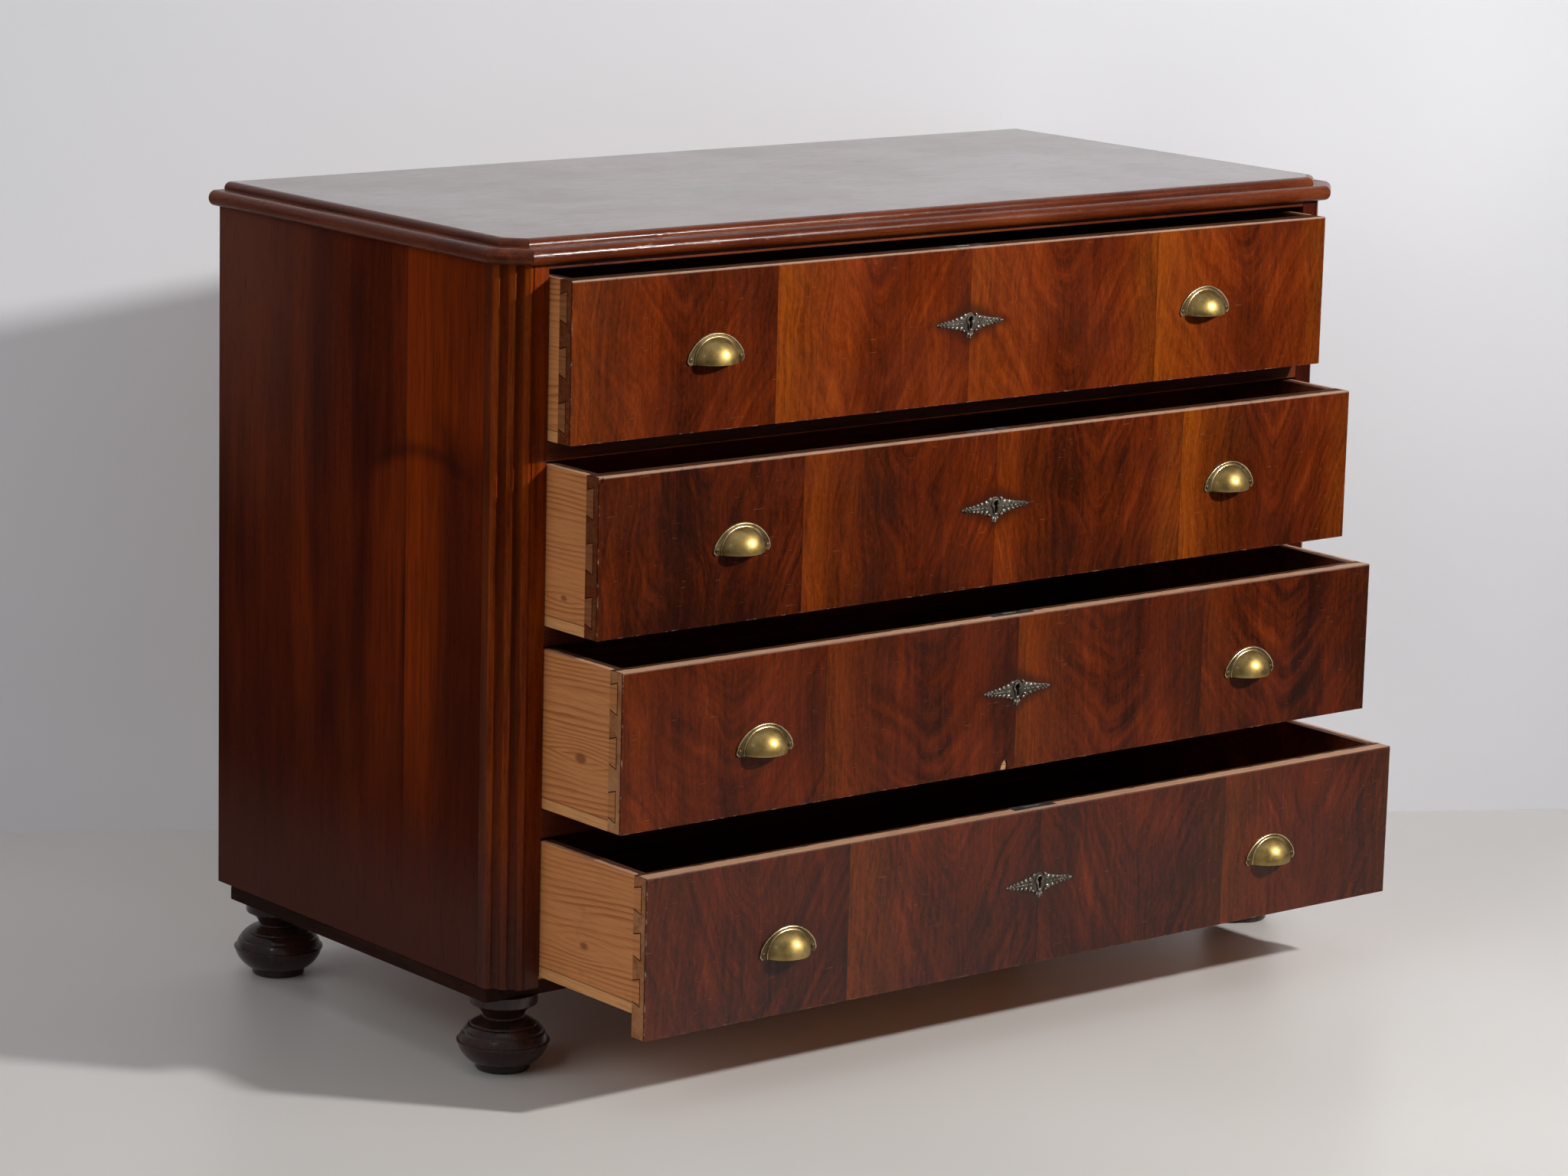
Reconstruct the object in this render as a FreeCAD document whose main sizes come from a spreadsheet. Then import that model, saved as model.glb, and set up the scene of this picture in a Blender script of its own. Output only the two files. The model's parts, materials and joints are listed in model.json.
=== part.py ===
import FreeCAD, Part
import os
import re
import Sketcher

# Chest of four drawers on bun feet, its drawers pulled out in a stagger. Lengths in millimetres.
# x runs across the chest, the front faces -y and z is up; the origin is on the floor, under the middle
# of the chest with its drawers pulled out.

SIZES = {
    # carcass
    "opening_width": 1003,
    "carcass_depth": 511,
    "post_width": 47,
    "post_depth": 39,
    "cant_leg": 25,
    "flute_depth_share": 0.31,
    "bead_width": 3.6,
    "quirk_width": 1.8,
    "quirk_depth_share": 0.45,
    "panel_thickness": 18,
    "back_board_thickness": 12,
    "back_board_count": 5,
    "back_board_gap": 1,
    "back_rebate": 9,
    "bottom_board_thickness": 10,
    "bottom_board_setback": 22,
    "bottom_board_housing": 6,
    "rail_thickness": 20,
    "lowest_rail_thickness": 30,
    "top_rail_thickness": 14,
    "rail_depth": 65,
    "rail_housing": 10,
    "runner_thickness": 18,
    "runner_reach": 35,
    "guide_height": 24,
    "stop_end_inset": 201.5,
    "stop_width": 40,
    "stop_depth": 25,
    "stop_height": 6,
    "stop_gap": 0.2,
    # base
    "batten_height": 14,
    "batten_width": 70,
    "batten_front_inset": 22,
    "batten_back_inset": 25,
    "cross_batten_depth": 40,
    "foot_height": 80,
    "foot_side_inset": 42.5,
    "foot_front_inset": 51.5,
    "foot_back_inset": 51.5,
    "foot_base_radius": 27.5,
    "foot_base_height": 8,
    "bun_seat_radius": 31.4,
    "bun_radius": 46.5,
    "bun_middle": 29,
    "bun_ridge": 0.8,
    "foot_neck_radius": 20.5,
    "foot_neck_height": 55,
    "foot_plate_radius": 34,
    "foot_plate_thickness": 12.5,
    "foot_tenon_radius": 9,
    "foot_tenon_length": 12,
    # top
    "top_board_thickness": 15.5,
    "top_inset": 14,
    "moulding_overhang": 13,
    "moulding_skirt": 8,
    "upper_round_width": 8,
    "upper_round_drop": 6.5,
    "upper_round_share": 0.177,
    "moulding_quirk": 1,
    # drawers
    "drawer_height": 159,
    "lowest_drawer_height": 137.5,
    "lowest_drawer_lip": 23.5,
    "drawer_side_gap": 1.5,
    "running_gap": 0.5,
    "drawer_top_gap": 2.5,
    "first_drawer_top_gap": 7,
    "drawer_back_gap": 19,
    "veneer_thickness": 1.4,
    "core_thickness": 19,
    "lap_thickness": 7,
    "drawer_side_thickness": 14,
    "drawer_back_thickness": 12,
    "drawer_back_drop": 8,
    "tray_thickness": 7,
    "tray_rise": 10,
    "tray_groove": 6,
    "tail_count": 3,
    "tail_tip_share": 0.6,
    "tail_root_share": 0.46,
    "drawer_1_open": 36,
    "drawer_2_open": 84,
    "drawer_3_open": 127,
    "drawer_4_open": 171,
    # locks
    "lock_width": 70,
    "lock_height": 100,
    "lock_depth": 13,
    "lock_wall": 2.5,
    "lock_pin_radius": 1.1,
    "selvedge_width": 56,
    "selvedge_height": 10,
    "bolt_width": 18,
    "bolt_thickness": 3,
    "bolt_length": 60,
    "bolt_gap": 0.3,
    "bolt_sink": 0.3,
    "strike_gap": 1,
    "strike_depth": 11,
    "keyhole_drop": 73,
    "keyhole_radius": 2.8,
    "rod_facet_count": 12,
    "keyhole_slot_width": 3.2,
    "keyhole_slot_drop": 9.6,
    # pulls and escutcheons
    "pull_end_inset": 174,
    "pull_1_drop": 92,
    "pull_2_drop": 90,
    "pull_3_drop": 100,
    "pull_4_drop": 102,
    "flange_width": 71,
    "flange_height": 30,
    "flange_ear_height": 7,
    "flange_thickness": 1.8,
    "cup_width": 54,
    "cup_height": 26.5,
    "cup_projection": 20,
    "cup_wall": 1.8,
    "cup_facet_count": 36,
    "escutcheon_drop": 77,
    "escutcheon_half_width": 45,
    "escutcheon_half_height": 11,
    "escutcheon_thickness": 1.8,
    "escutcheon_ring_width": 11,
    "escutcheon_ring_height": 17,
    "escutcheon_ring_rise": 1.2,
    # how far a cutting shape runs past what it cuts
    "overrun": 5,
}
# flutes along the cant, from and to, as shares of its length from the front
FLUTE_SHARES = ((0.13, 0.4), (0.58, 0.85))
# the bun's swell below and above its widest ring: shares of its reach in radius and in height
BUN_LOWER_SHARES = ((0.65, 0.425),)
BUN_UPPER_SHARES = ((0.8, 0.445), (0.455, 0.795))
# the cup pull's dome from its lip up, outside and inside: shares of its projection and of its height
DOME_SHARES = ((1, 0), (0.96, 0.34), (0.765, 0.65), (0.43, 0.885), (0, 1))
HOLLOW_SHARES = ((1, 0), (0.92, 0.42), (0.5, 0.82), (0, 1))
# right half of the pull flange's rounded edge from its ear up: shares of its half width and of its rise
FLANGE_SHARES = ((1, 0), (0.925, 0.26), (0.8, 0.505), (0.63, 0.715), (0.43, 0.87), (0.22, 0.967), (0, 1))
# right half of the escutcheon's edge from its top: shares of its half width and half height
ESCUTCHEON_SHARES = (
    (0, 1),
    (0.1, 0.93),
    (0.17, 0.72),
    (0.2, 0.58),
    (0.31, 0.44),
    (0.42, 0.52),
    (0.44, 0.4),
    (0.54, 0.28),
    (0.64, 0.36),
    (0.66, 0.28),
    (0.78, 0.14),
    (0.905, 0.25),
    (0.975, 0.2),
    (1, 0),
    (0.975, -0.2),
    (0.905, -0.25),
    (0.78, -0.14),
    (0.66, -0.28),
    (0.64, -0.36),
    (0.54, -0.28),
    (0.44, -0.4),
    (0.42, -0.52),
    (0.31, -0.44),
    (0.2, -0.58),
    (0.17, -0.72),
    (0.09, -0.97),
    (0.115, -1.25),
    (0.07, -1.46),
    (0, -1.52),
)
# upper right quarter of the collar round the keyhole: shares of its half width and half height
COLLAR_SHARES = ((0, 1), (0.5, 0.9), (0.87, 0.62), (1, 0.3))
HALF_ROUND_SHARE = "0.5"

document = FreeCAD.newDocument("bachelors_chest")
sheet = document.addObject("Spreadsheet::Sheet", "Sizes")
for row, (alias, size) in enumerate(SIZES.items(), start=1):
    sheet.set("A%d" % row, alias)
    sheet.set("B%d" % row, str(size))
    sheet.setAlias("B%d" % row, alias)
document.recompute()

UPRIGHT = FreeCAD.Rotation(FreeCAD.Vector(1, 0, 0), 90)
FACING_LEFT = FreeCAD.Rotation(
    FreeCAD.Vector(0, -1, 0), FreeCAD.Vector(0, 0, 1), FreeCAD.Vector(-1, 0, 0), "XYZ")
LEFT, RIGHT = "left", "right"
SIDES = {LEFT: -1, RIGHT: 1}


def sized(text):
    """The expression with every size name pointing at the sheet."""
    return re.sub(r"[a-z]\w*", lambda word: ("Sizes." if word[0] in SIZES else "") + word[0], text)


def value(text):
    return float(sheet.evalExpression(sized(text)))


def bind(thing, **expressions):
    for name, text in expressions.items():
        thing.setExpression(name, sized(text))


def place(thing, x="0", y="0", z="0"):
    for axis, text in zip("xyz", (x, y, z)):
        thing.setExpression("Placement.Base." + axis, sized(text))
    return thing


def add(kind, label, **properties):
    thing = document.addObject(kind, label)
    thing.Label = label
    for name, setting in properties.items():
        setattr(thing, name, setting)
    return thing


def board(label, x, y, z):
    """A square-edged board, from its low to its high place on each axis."""
    box = add("Part::Box", label)
    place(box, x[0], y[0], z[0])
    spans = ["(%s) - (%s)" % (high, low) for low, high in (x, y, z)]
    bind(box, Length=spans[0], Width=spans[1], Height=spans[2])
    return box


def across(half):
    """A span centred on the chest."""
    return "-(%s)" % half, half


def on_side(side, near, far):
    """A span of the left or right side, given by its distances from the middle."""
    return (near, far) if side == RIGHT else ("-(%s)" % far, "-(%s)" % near)


def cut(label, base, *tools):
    for step, tool in enumerate(tools, start=1):
        last = step == len(tools)
        base = add("Part::Cut", label if last else "%s_step_%d" % (label, step), Base=base, Tool=tool)
    return base


def link(label, master, x="0", y="0", z="0"):
    return place(add("App::Link", label, LinkedObject=master, LinkTransform=True), x, y, z)


def compound(label, pieces):
    return add("Part::Compound", label, Links=pieces)


def outline(sketch, points):
    """Draw a closed outline through the points, each placed by two expressions.

    A third expression is the rise of the arc to the next point, as a share of its chord,
    positive to the left of the way round."""
    count = len(points)
    places = [FreeCAD.Vector(value(point[0]), value(point[1]), 0) for point in points]
    ends = []
    for index, point in enumerate(points):
        start, end = places[index], places[(index + 1) % count]
        share = value(point[2]) if len(point) > 2 else 0
        chord = end - start
        middle = (start + end) / 2 + FreeCAD.Vector(-chord.y, chord.x, 0) * share
        if share > 0:
            sketch.addGeometry(Part.Arc(end, middle, start))
        elif share < 0:
            sketch.addGeometry(Part.Arc(start, middle, end))
        else:
            sketch.addGeometry(Part.LineSegment(start, end))
        ends.append((2, 1) if share > 0 else (1, 2))
    for index, point in enumerate(points):
        following = (index + 1) % count
        first, last = ends[index]
        sketch.addConstraint(
            Sketcher.Constraint("Coincident", index, last, following, ends[following][0]))
        for kind, text, axis in (("DistanceX", point[0], -2), ("DistanceY", point[1], -1)):
            if text == "0":
                sketch.addConstraint(Sketcher.Constraint("PointOnObject", index, first, axis))
                continue
            place_held = sketch.addConstraint(Sketcher.Constraint(kind, index, first, value(text)))
            sketch.setExpression("Constraints[%d]" % place_held, sized(text))
        if len(point) == 2 or value(point[2]) == 0:
            continue
        if point[2] == HALF_ROUND_SHARE:
            sketch.addConstraint(Sketcher.Constraint("Symmetric", index, 1, index, 2, index, 3))
            continue
        x_span, y_span = ("((%s) - (%s))" % (points[following][axis], point[axis]) for axis in (0, 1))
        radius = "sqrt(%s ^ 2 + %s ^ 2) * (0.25 + (%s) ^ 2) / (2 * abs(%s))" % (
            x_span, y_span, point[2], point[2])
        radius_held = sketch.addConstraint(Sketcher.Constraint("Radius", index, value(radius)))
        sketch.setExpression("Constraints[%d]" % radius_held, sized(radius))
    return sketch


def flat_sketch(label, points, rotation=UPRIGHT):
    sketch = add("Sketcher::SketchObject", label)
    sketch.Placement = FreeCAD.Placement(FreeCAD.Vector(), rotation)
    return outline(sketch, points)


def extruded(label, sketch, length, symmetric=False):
    solid = add("Part::Extrusion", label, Base=sketch, DirMode="Normal", Solid=True, Symmetric=symmetric)
    bind(solid, LengthFwd=length)
    return solid


def faceted(label, section, reach, rise, facets):
    """A many-sided turning about z, its front half made of flat gores of one section.

    The reach and the rise are more than the section's own."""
    gore_half = "(%s) * tan(180 deg / %s)" % (reach, facets)
    strip = extruded(label + "_strip", flat_sketch(label + "_section", section, FACING_LEFT),
                     "2 * " + gore_half, True)
    plan = [("0", "0"), ("-" + gore_half, "-(%s)" % reach), (gore_half, "-(%s)" % reach)]
    wedge = extruded(label + "_wedge", flat_sketch(label + "_plan", plan, FreeCAD.Rotation()),
                     "2 * (%s)" % rise, True)
    gore = add("Part::Common", label + "_gore", Base=strip, Tool=wedge)
    count = SIZES[facets]
    gores = []
    for index in range(-(count // 4), count // 4 + 1):
        copy = link("%s_gore_%d" % (label, index), gore)
        copy.Placement.Rotation = FreeCAD.Rotation(FreeCAD.Vector(0, 0, 1), 360 * index / count)
        gores.append(copy)
    return add("Part::MultiFuse", label, Shapes=gores)


def mirrored(points):
    """A closed outline from its right half, whose first and last points are on the middle line."""
    return points + [("-" + x if x != "0" else x, y) for x, y in reversed(points[1:-1])]


def origin_part(body, role):
    return next(feature for feature in body.Origin.OriginFeatures if feature.Role == role)


def body_sketch(body, label, role, points):
    sketch = body.newObject("Sketcher::SketchObject", label)
    sketch.AttachmentSupport = [(origin_part(body, role), "")]
    sketch.MapMode = "FlatFace"
    return outline(sketch, points)


def body_pad(body, sketch, length, side_type="One side"):
    pad = body.newObject("PartDesign::Pad", sketch.Label + "_pad")
    pad.Profile = sketch
    pad.SideType = side_type
    bind(pad, Length=length)
    return pad


def padded(label, role, points, length):
    body = add("PartDesign::Body", label)
    body_pad(body, body_sketch(body, label + "_section", role, points), length)
    return body


# places that several pieces share
half_opening = "(opening_width / 2)"
side_face = "(opening_width / 2 + post_width)"
panel_inner = "(opening_width / 2 + post_width - panel_thickness)"
runner_inner = "(opening_width / 2 - runner_reach)"
front_face = "((drawer_4_open + cup_projection - carcass_depth) / 2)"
back_face = "((drawer_4_open + cup_projection + carcass_depth) / 2)"
back_inner = "(%s - back_board_thickness)" % back_face
rail_back = "(%s + rail_depth)" % front_face
base_top = "(foot_height + batten_height)"
front_thickness = "(veneer_thickness + core_thickness)"

# the stack from the bottom board up: where each drawer runs, its top, and the rail above it
running, drawer_top, rail_span = {}, {}, {}
level = base_top + " + bottom_board_thickness"
for number in (4, 3, 2, 1):
    height = "lowest_drawer_height" if number == 4 else "drawer_height"
    gap = "first_drawer_top_gap" if number == 1 else "drawer_top_gap"
    thickness = {4: "lowest_rail_thickness", 1: "top_rail_thickness"}.get(number, "rail_thickness")
    running[number] = level
    drawer_top[number] = "%s + running_gap + %s" % (level, height)
    rail_low = "%s + %s" % (drawer_top[number], gap)
    level = "%s + %s" % (rail_low, thickness)
    rail_span[number] = (rail_low, level)
carcass_top = level

nodes = {}


def keep(piece):
    nodes[piece.Label] = piece
    return piece


# rails, housed in the posts and mortised for the bolts
rail_labels = {1: "top_rail", 2: "drawer_rail_1", 3: "drawer_rail_2", 4: "drawer_rail_3"}
strike_middle = "(%s + %s - lock_depth / 2)" % (front_face, front_thickness)
strike_half = "(bolt_thickness / 2 + strike_gap / 2)"
rails = []
for number, label in rail_labels.items():
    low = rail_span[number][0]
    blank = board(label + "_blank", across(half_opening + " + rail_housing"), (front_face, rail_back),
                  rail_span[number])
    strike = board(label + "_strike", across("bolt_width / 2 + strike_gap"),
                   ("%s - %s" % (strike_middle, strike_half), "%s + %s" % (strike_middle, strike_half)),
                   (low + " - overrun", low + " + strike_depth"))
    rails.append(keep(cut(label, blank, strike)))

# corner posts with a fluted cant
flat_width = "(post_width - cant_leg)"
post_height = "%s - %s" % (carcass_top, base_top)
posts = []
for side, sign in SIDES.items():
    edge = [("0", "0"),
            (flat_width + " - bead_width - quirk_width", "0", "quirk_depth_share"),
            (flat_width + " - bead_width", "0"),
            (flat_width, "0")]
    for near, far in FLUTE_SHARES:
        edge.append(("%s + cant_leg * %s" % (flat_width, near), "cant_leg * %s" % near, "flute_depth_share"))
        edge.append(("%s + cant_leg * %s" % (flat_width, far), "cant_leg * %s" % far))
    edge += [("post_width", "cant_leg"), ("post_width", "post_depth"), ("0", "post_depth")]
    if side == LEFT:
        edge = [(point[0] if point[0] == "0" else "-(%s)" % point[0],) + point[1:2]
                + tuple("-" + share for share in point[2:]) for point in edge]
    post = padded("corner_post_%s_shaft" % side, "XY_Plane", edge, post_height)
    place(post, "%d * %s" % (sign, half_opening), front_face, base_top)
    posts.append(keep(cut("corner_post_" + side, post, *rails)))

# bottom board, side panels and back boards
bottom_blank = board("bottom_board_blank", across(panel_inner + " + bottom_board_housing"),
                     (front_face + " + bottom_board_setback", back_inner),
                     (base_top, base_top + " + bottom_board_thickness"))
keep(cut("bottom_board", bottom_blank, *posts))
back_half = panel_inner + " + back_rebate"
rebate = board("back_rebate_space", across(back_half), (back_inner, back_face + " + overrun"),
               (base_top + " - overrun", carcass_top + " + overrun"))
for side in SIDES:
    blank = board("side_panel_%s_blank" % side, on_side(side, panel_inner, side_face),
                  (front_face + " + post_depth", back_face), (base_top, carcass_top))
    keep(cut("side_panel_" + side, blank, rebate, bottom_blank))
back_pitch = "((%s - %s + back_board_gap) / back_board_count)" % (carcass_top, base_top)
back_boards = []
for index in range(SIZES["back_board_count"]):
    low = "%s + %d * %s" % (base_top, index, back_pitch)
    back_boards.append(board("back_board_%d" % (index + 1), across(back_half), (back_inner, back_face),
                             (low, "%s + %s - back_board_gap" % (low, back_pitch))))
keep(compound("back_boards", back_boards))

# runners with guides, guide strips on the bottom board, and kickers over the top drawer
runners = []
for side, sign in SIDES.items():
    section = [(runner_inner, "-runner_thickness"), (panel_inner, "-runner_thickness"),
               (panel_inner, "guide_height"), (half_opening, "guide_height"), (half_opening, "0"),
               (runner_inner, "0")]
    section = [("%d * %s" % (sign, point[0]), point[1]) for point in section]
    runner = padded("runner_%s_section" % side, "XZ_Plane", section, "%s - %s" % (back_inner, rail_back))
    runners += [link("runner_%d_%s" % (number, side), runner, "0", back_inner, running[number])
                for number in (1, 2, 3)]
    runners.append(board("guide_strip_" + side, on_side(side, half_opening, panel_inner),
                         (front_face + " + post_depth", back_inner),
                         (running[4], running[4] + " + guide_height")))
    runners.append(board("kicker_" + side, on_side(side, runner_inner, panel_inner), (rail_back, back_inner),
                         rail_span[1]))
keep(compound("drawer_runners", runners))

# stops behind the closed drawer fronts
stop_front = "%s + %s + stop_gap" % (front_face, front_thickness)
stop_place = "(%s - stop_end_inset)" % half_opening
stops = []
for number in running:
    for side in SIDES:
        stops.append(board("drawer_stop_%d_%s" % (number, side),
                           on_side(side, stop_place + " - stop_width / 2", stop_place + " + stop_width / 2"),
                           (stop_front, stop_front + " + stop_depth"),
                           (running[number], running[number] + " + stop_height")))
keep(compound("drawer_stops", stops))

# turned feet, tenoned into the base battens
plate_low = "(foot_height - foot_plate_thickness)"
bun_top_radius = "bun_radius - bun_ridge"
bun_lower = [("bun_seat_radius + (bun_radius - bun_seat_radius) * %s" % out,
              "foot_base_height + (bun_middle - foot_base_height) * %s" % up) for out, up in BUN_LOWER_SHARES]
bun_upper = [("foot_neck_radius + (%s - foot_neck_radius) * %s" % (bun_top_radius, out),
              "bun_middle + bun_ridge + (foot_neck_height - bun_middle - bun_ridge) * %s" % up)
             for out, up in BUN_UPPER_SHARES]
foot = add("PartDesign::Body", "bun_foot_turning")
foot_sketch = body_sketch(foot, "bun_foot_section", "XZ_Plane", [
    ("0", "0"),
    ("foot_base_radius", "0"),
    ("foot_base_radius", "foot_base_height"),
    ("bun_seat_radius", "foot_base_height"),
    *bun_lower,
    ("bun_radius", "bun_middle"),
    (bun_top_radius, "bun_middle + bun_ridge"),
    *bun_upper,
    ("foot_neck_radius", "foot_neck_height"),
    ("foot_plate_radius", plate_low),
    ("foot_plate_radius", "foot_height"),
    ("foot_tenon_radius", "foot_height"),
    ("foot_tenon_radius", "foot_height + foot_tenon_length"),
    ("0", "foot_height + foot_tenon_length"),
])
turning = foot.newObject("PartDesign::Revolution", "bun_foot_revolved")
turning.Profile = foot_sketch
turning.ReferenceAxis = (origin_part(foot, "Z_Axis"), [""])
turning.Angle = 360
foot_rows = {"front": front_face + " + foot_front_inset", "back": back_face + " - foot_back_inset"}
feet = [link("bun_foot_%s_%s" % (row_name, side), foot, "%d * (%s - foot_side_inset)" % (sign, side_face), y)
        for row_name, y in foot_rows.items() for side, sign in SIDES.items()]
feet = keep(compound("bun_feet", feet))
batten_inner = "(%s - batten_width)" % side_face
batten_front = "(%s + batten_front_inset)" % front_face
batten_back = "(%s - batten_back_inset)" % back_face
batten_span = ("foot_height", base_top)
battens = [cut("base_batten_" + side,
               board("base_batten_%s_blank" % side, on_side(side, batten_inner, side_face),
                     (batten_front, batten_back), batten_span), feet) for side in SIDES]
battens.append(board("base_batten_front", across(batten_inner),
                     (batten_front, batten_front + " + cross_batten_depth"), batten_span))
battens.append(board("base_batten_back", across(batten_inner),
                     (batten_back + " - cross_batten_depth", batten_back), batten_span))
keep(compound("base_battens", battens))

# top board with clipped corners, and the moulding round it in five mitred lengths
top_half = "(%s - top_inset)" % side_face
top_front = "(%s + top_inset)" % front_face
top_clip = "(cant_leg - top_inset * (2 - sqrt(2)))"
top_edge = [("%s - %s" % (top_half, top_clip), top_front),
            (top_half, "%s + %s" % (top_front, top_clip)),
            (top_half, back_face)]
top_edge += [("-(%s)" % x, y) for x, y in reversed(top_edge)]
keep(place(padded("top_board", "XY_Plane", top_edge, "top_board_thickness"), "0", "0", carcass_top))

ledge = "(top_board_thickness - upper_round_drop - moulding_quirk)"
nose_height = "(%s + moulding_skirt)" % ledge
nose_foot = "moulding_overhang - %s / 2" % nose_height
moulding_points = [
    ("-top_inset", "0"),
    ("-top_inset", "top_board_thickness", "upper_round_share"),
    ("-top_inset + upper_round_width", "top_board_thickness - upper_round_drop"),
    ("-top_inset + upper_round_width", ledge),
    (nose_foot, ledge, HALF_ROUND_SHARE),
    (nose_foot, "-moulding_skirt"),
    ("0", "-moulding_skirt"),
    ("0", "0"),
]
moulding_section = flat_sketch("moulding_section", moulding_points, FACING_LEFT)
mitre = "tan(22.5 deg)"
outer_reach = "(moulding_overhang + overrun)"
inner_reach = "(top_inset + overrun)"
flank_middle = "(%s - cant_leg / 2)" % side_face
cant_length = "(cant_leg * sqrt(2))"
flank_length = "(carcass_depth - cant_leg)"
flank_centre = "(%s + cant_leg + %s) / 2" % (front_face, back_face)
# each run's length, mitre at its left and right end, place and turn about z
moulding_runs = {
    "front": ("2 * (%s - cant_leg)" % side_face, mitre, mitre, "0", front_face, 0),
    "corner_left": (cant_length, mitre, mitre, "-" + flank_middle, front_face + " + cant_leg / 2", -45),
    "corner_right": (cant_length, mitre, mitre, flank_middle, front_face + " + cant_leg / 2", 45),
    "side_left": (flank_length, "0", mitre, "-" + side_face, flank_centre, -90),
    "side_right": (flank_length, mitre, "0", side_face, flank_centre, 90),
}
moulding = []
for label, (length, left_mitre, right_mitre, x, y, turn) in moulding_runs.items():
    run = extruded("moulding_%s_run" % label, moulding_section,
                   "%s + 2 * (%s + %s)" % (length, outer_reach, inner_reach), True)
    left_end, right_end = "(-(%s) / 2)" % length, "((%s) / 2)" % length
    plan = [("%s - %s * %s" % (left_end, outer_reach, left_mitre), "-" + outer_reach),
            ("%s + %s * %s" % (right_end, outer_reach, right_mitre), "-" + outer_reach),
            ("%s - %s * %s" % (right_end, inner_reach, right_mitre), inner_reach),
            ("%s + %s * %s" % (left_end, inner_reach, left_mitre), inner_reach)]
    envelope = extruded("moulding_%s_envelope" % label,
                        flat_sketch("moulding_%s_plan" % label, plan, FreeCAD.Rotation()),
                        "2 * (top_board_thickness + moulding_skirt + overrun)", True)
    length_piece = add("Part::Common", "moulding_" + label, Base=run, Tool=envelope)
    length_piece.Placement = FreeCAD.Placement(
        FreeCAD.Vector(), FreeCAD.Rotation(FreeCAD.Vector(0, 0, 1), turn))
    moulding.append(place(length_piece, x, y, carcass_top))
keep(compound("top_moulding", moulding))

# lock, keyhole and escutcheon, placed from the middle of a drawer front's top inner edge
lock_block = extruded("lock_block", flat_sketch("lock_outline", [
    ("-lock_width / 2", "-lock_height"),
    ("lock_width / 2", "-lock_height"),
    ("lock_width / 2", "-selvedge_height"),
    ("selvedge_width / 2", "-selvedge_height"),
    ("selvedge_width / 2", "0"),
    ("-selvedge_width / 2", "0"),
    ("-selvedge_width / 2", "-selvedge_height"),
    ("-lock_width / 2", "-selvedge_height"),
]), "lock_depth")


def rod(label, radius, z, back, length):
    """A round rod running forward from its back end."""
    prism = add("Part::Prism", label)
    prism.Placement = FreeCAD.Placement(FreeCAD.Vector(), UPRIGHT)
    bind(prism, Circumradius=radius, Height=length, Polygon="rod_facet_count")
    return place(prism, "0", back, z)


bolt_middle = "(-lock_depth / 2)"
bolt_half = "bolt_thickness / 2"
bolt = board("lock_bolt_master", across("bolt_width / 2"),
             ("%s - %s" % (bolt_middle, bolt_half), "%s + %s" % (bolt_middle, bolt_half)),
             ("-bolt_sink - bolt_length", "-bolt_sink"))
bolt_way = board("lock_bolt_way", across("bolt_width / 2 + bolt_gap"),
                 ("%s - %s - bolt_gap" % (bolt_middle, bolt_half),
                  "%s + %s + bolt_gap" % (bolt_middle, bolt_half)),
                 ("-bolt_sink - bolt_length - bolt_gap", "overrun"))
keyhole_length = "(%s - lock_wall + overrun)" % front_thickness
keyhole_slot = board("keyhole_slot", across("keyhole_slot_width / 2"),
                     ("-lock_wall - " + keyhole_length, "-lock_wall"),
                     ("-keyhole_drop - keyhole_slot_drop", "-keyhole_drop"))
keyhole = add("Part::MultiFuse", "keyhole", Shapes=[
    rod("keyhole_round", "keyhole_radius", "-keyhole_drop", "-lock_wall", keyhole_length), keyhole_slot])
lock_case = add("Part::MultiFuse", "lock_case_master", Shapes=[
    cut("lock_case_hollow", lock_block, bolt_way, keyhole),
    rod("lock_pin", "lock_pin_radius", "-keyhole_drop", "0", "lock_depth")])

def half_outline(shares, half_width, half_height):
    """Places round the escutcheon's middle from shares of two half sizes."""
    return [("%s * %s" % (half_width, x) if x else "0", "-escutcheon_drop + %s * (%s)" % (half_height, z))
            for x, z in shares]


quarter = list(COLLAR_SHARES)
collar_shares = quarter + [(x, -z) for x, z in reversed(quarter)]
lobes = half_outline(ESCUTCHEON_SHARES, "escutcheon_half_width", "escutcheon_half_height")
collar = half_outline(collar_shares, "escutcheon_ring_width / 2", "escutcheon_ring_height / 2")
escutcheon_plate = extruded("escutcheon_plate", flat_sketch("escutcheon_outline", mirrored(lobes)),
                            "escutcheon_thickness")
escutcheon_ring = extruded("escutcheon_ring", flat_sketch("escutcheon_ring_outline", mirrored(collar)),
                           "escutcheon_thickness + escutcheon_ring_rise")
for piece in (escutcheon_plate, escutcheon_ring):
    place(piece, "0", "-" + front_thickness)
escutcheon_whole = add("Part::MultiFuse", "escutcheon_whole", Shapes=[escutcheon_plate, escutcheon_ring])
escutcheon = cut("escutcheon_master", escutcheon_whole, keyhole)

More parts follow.
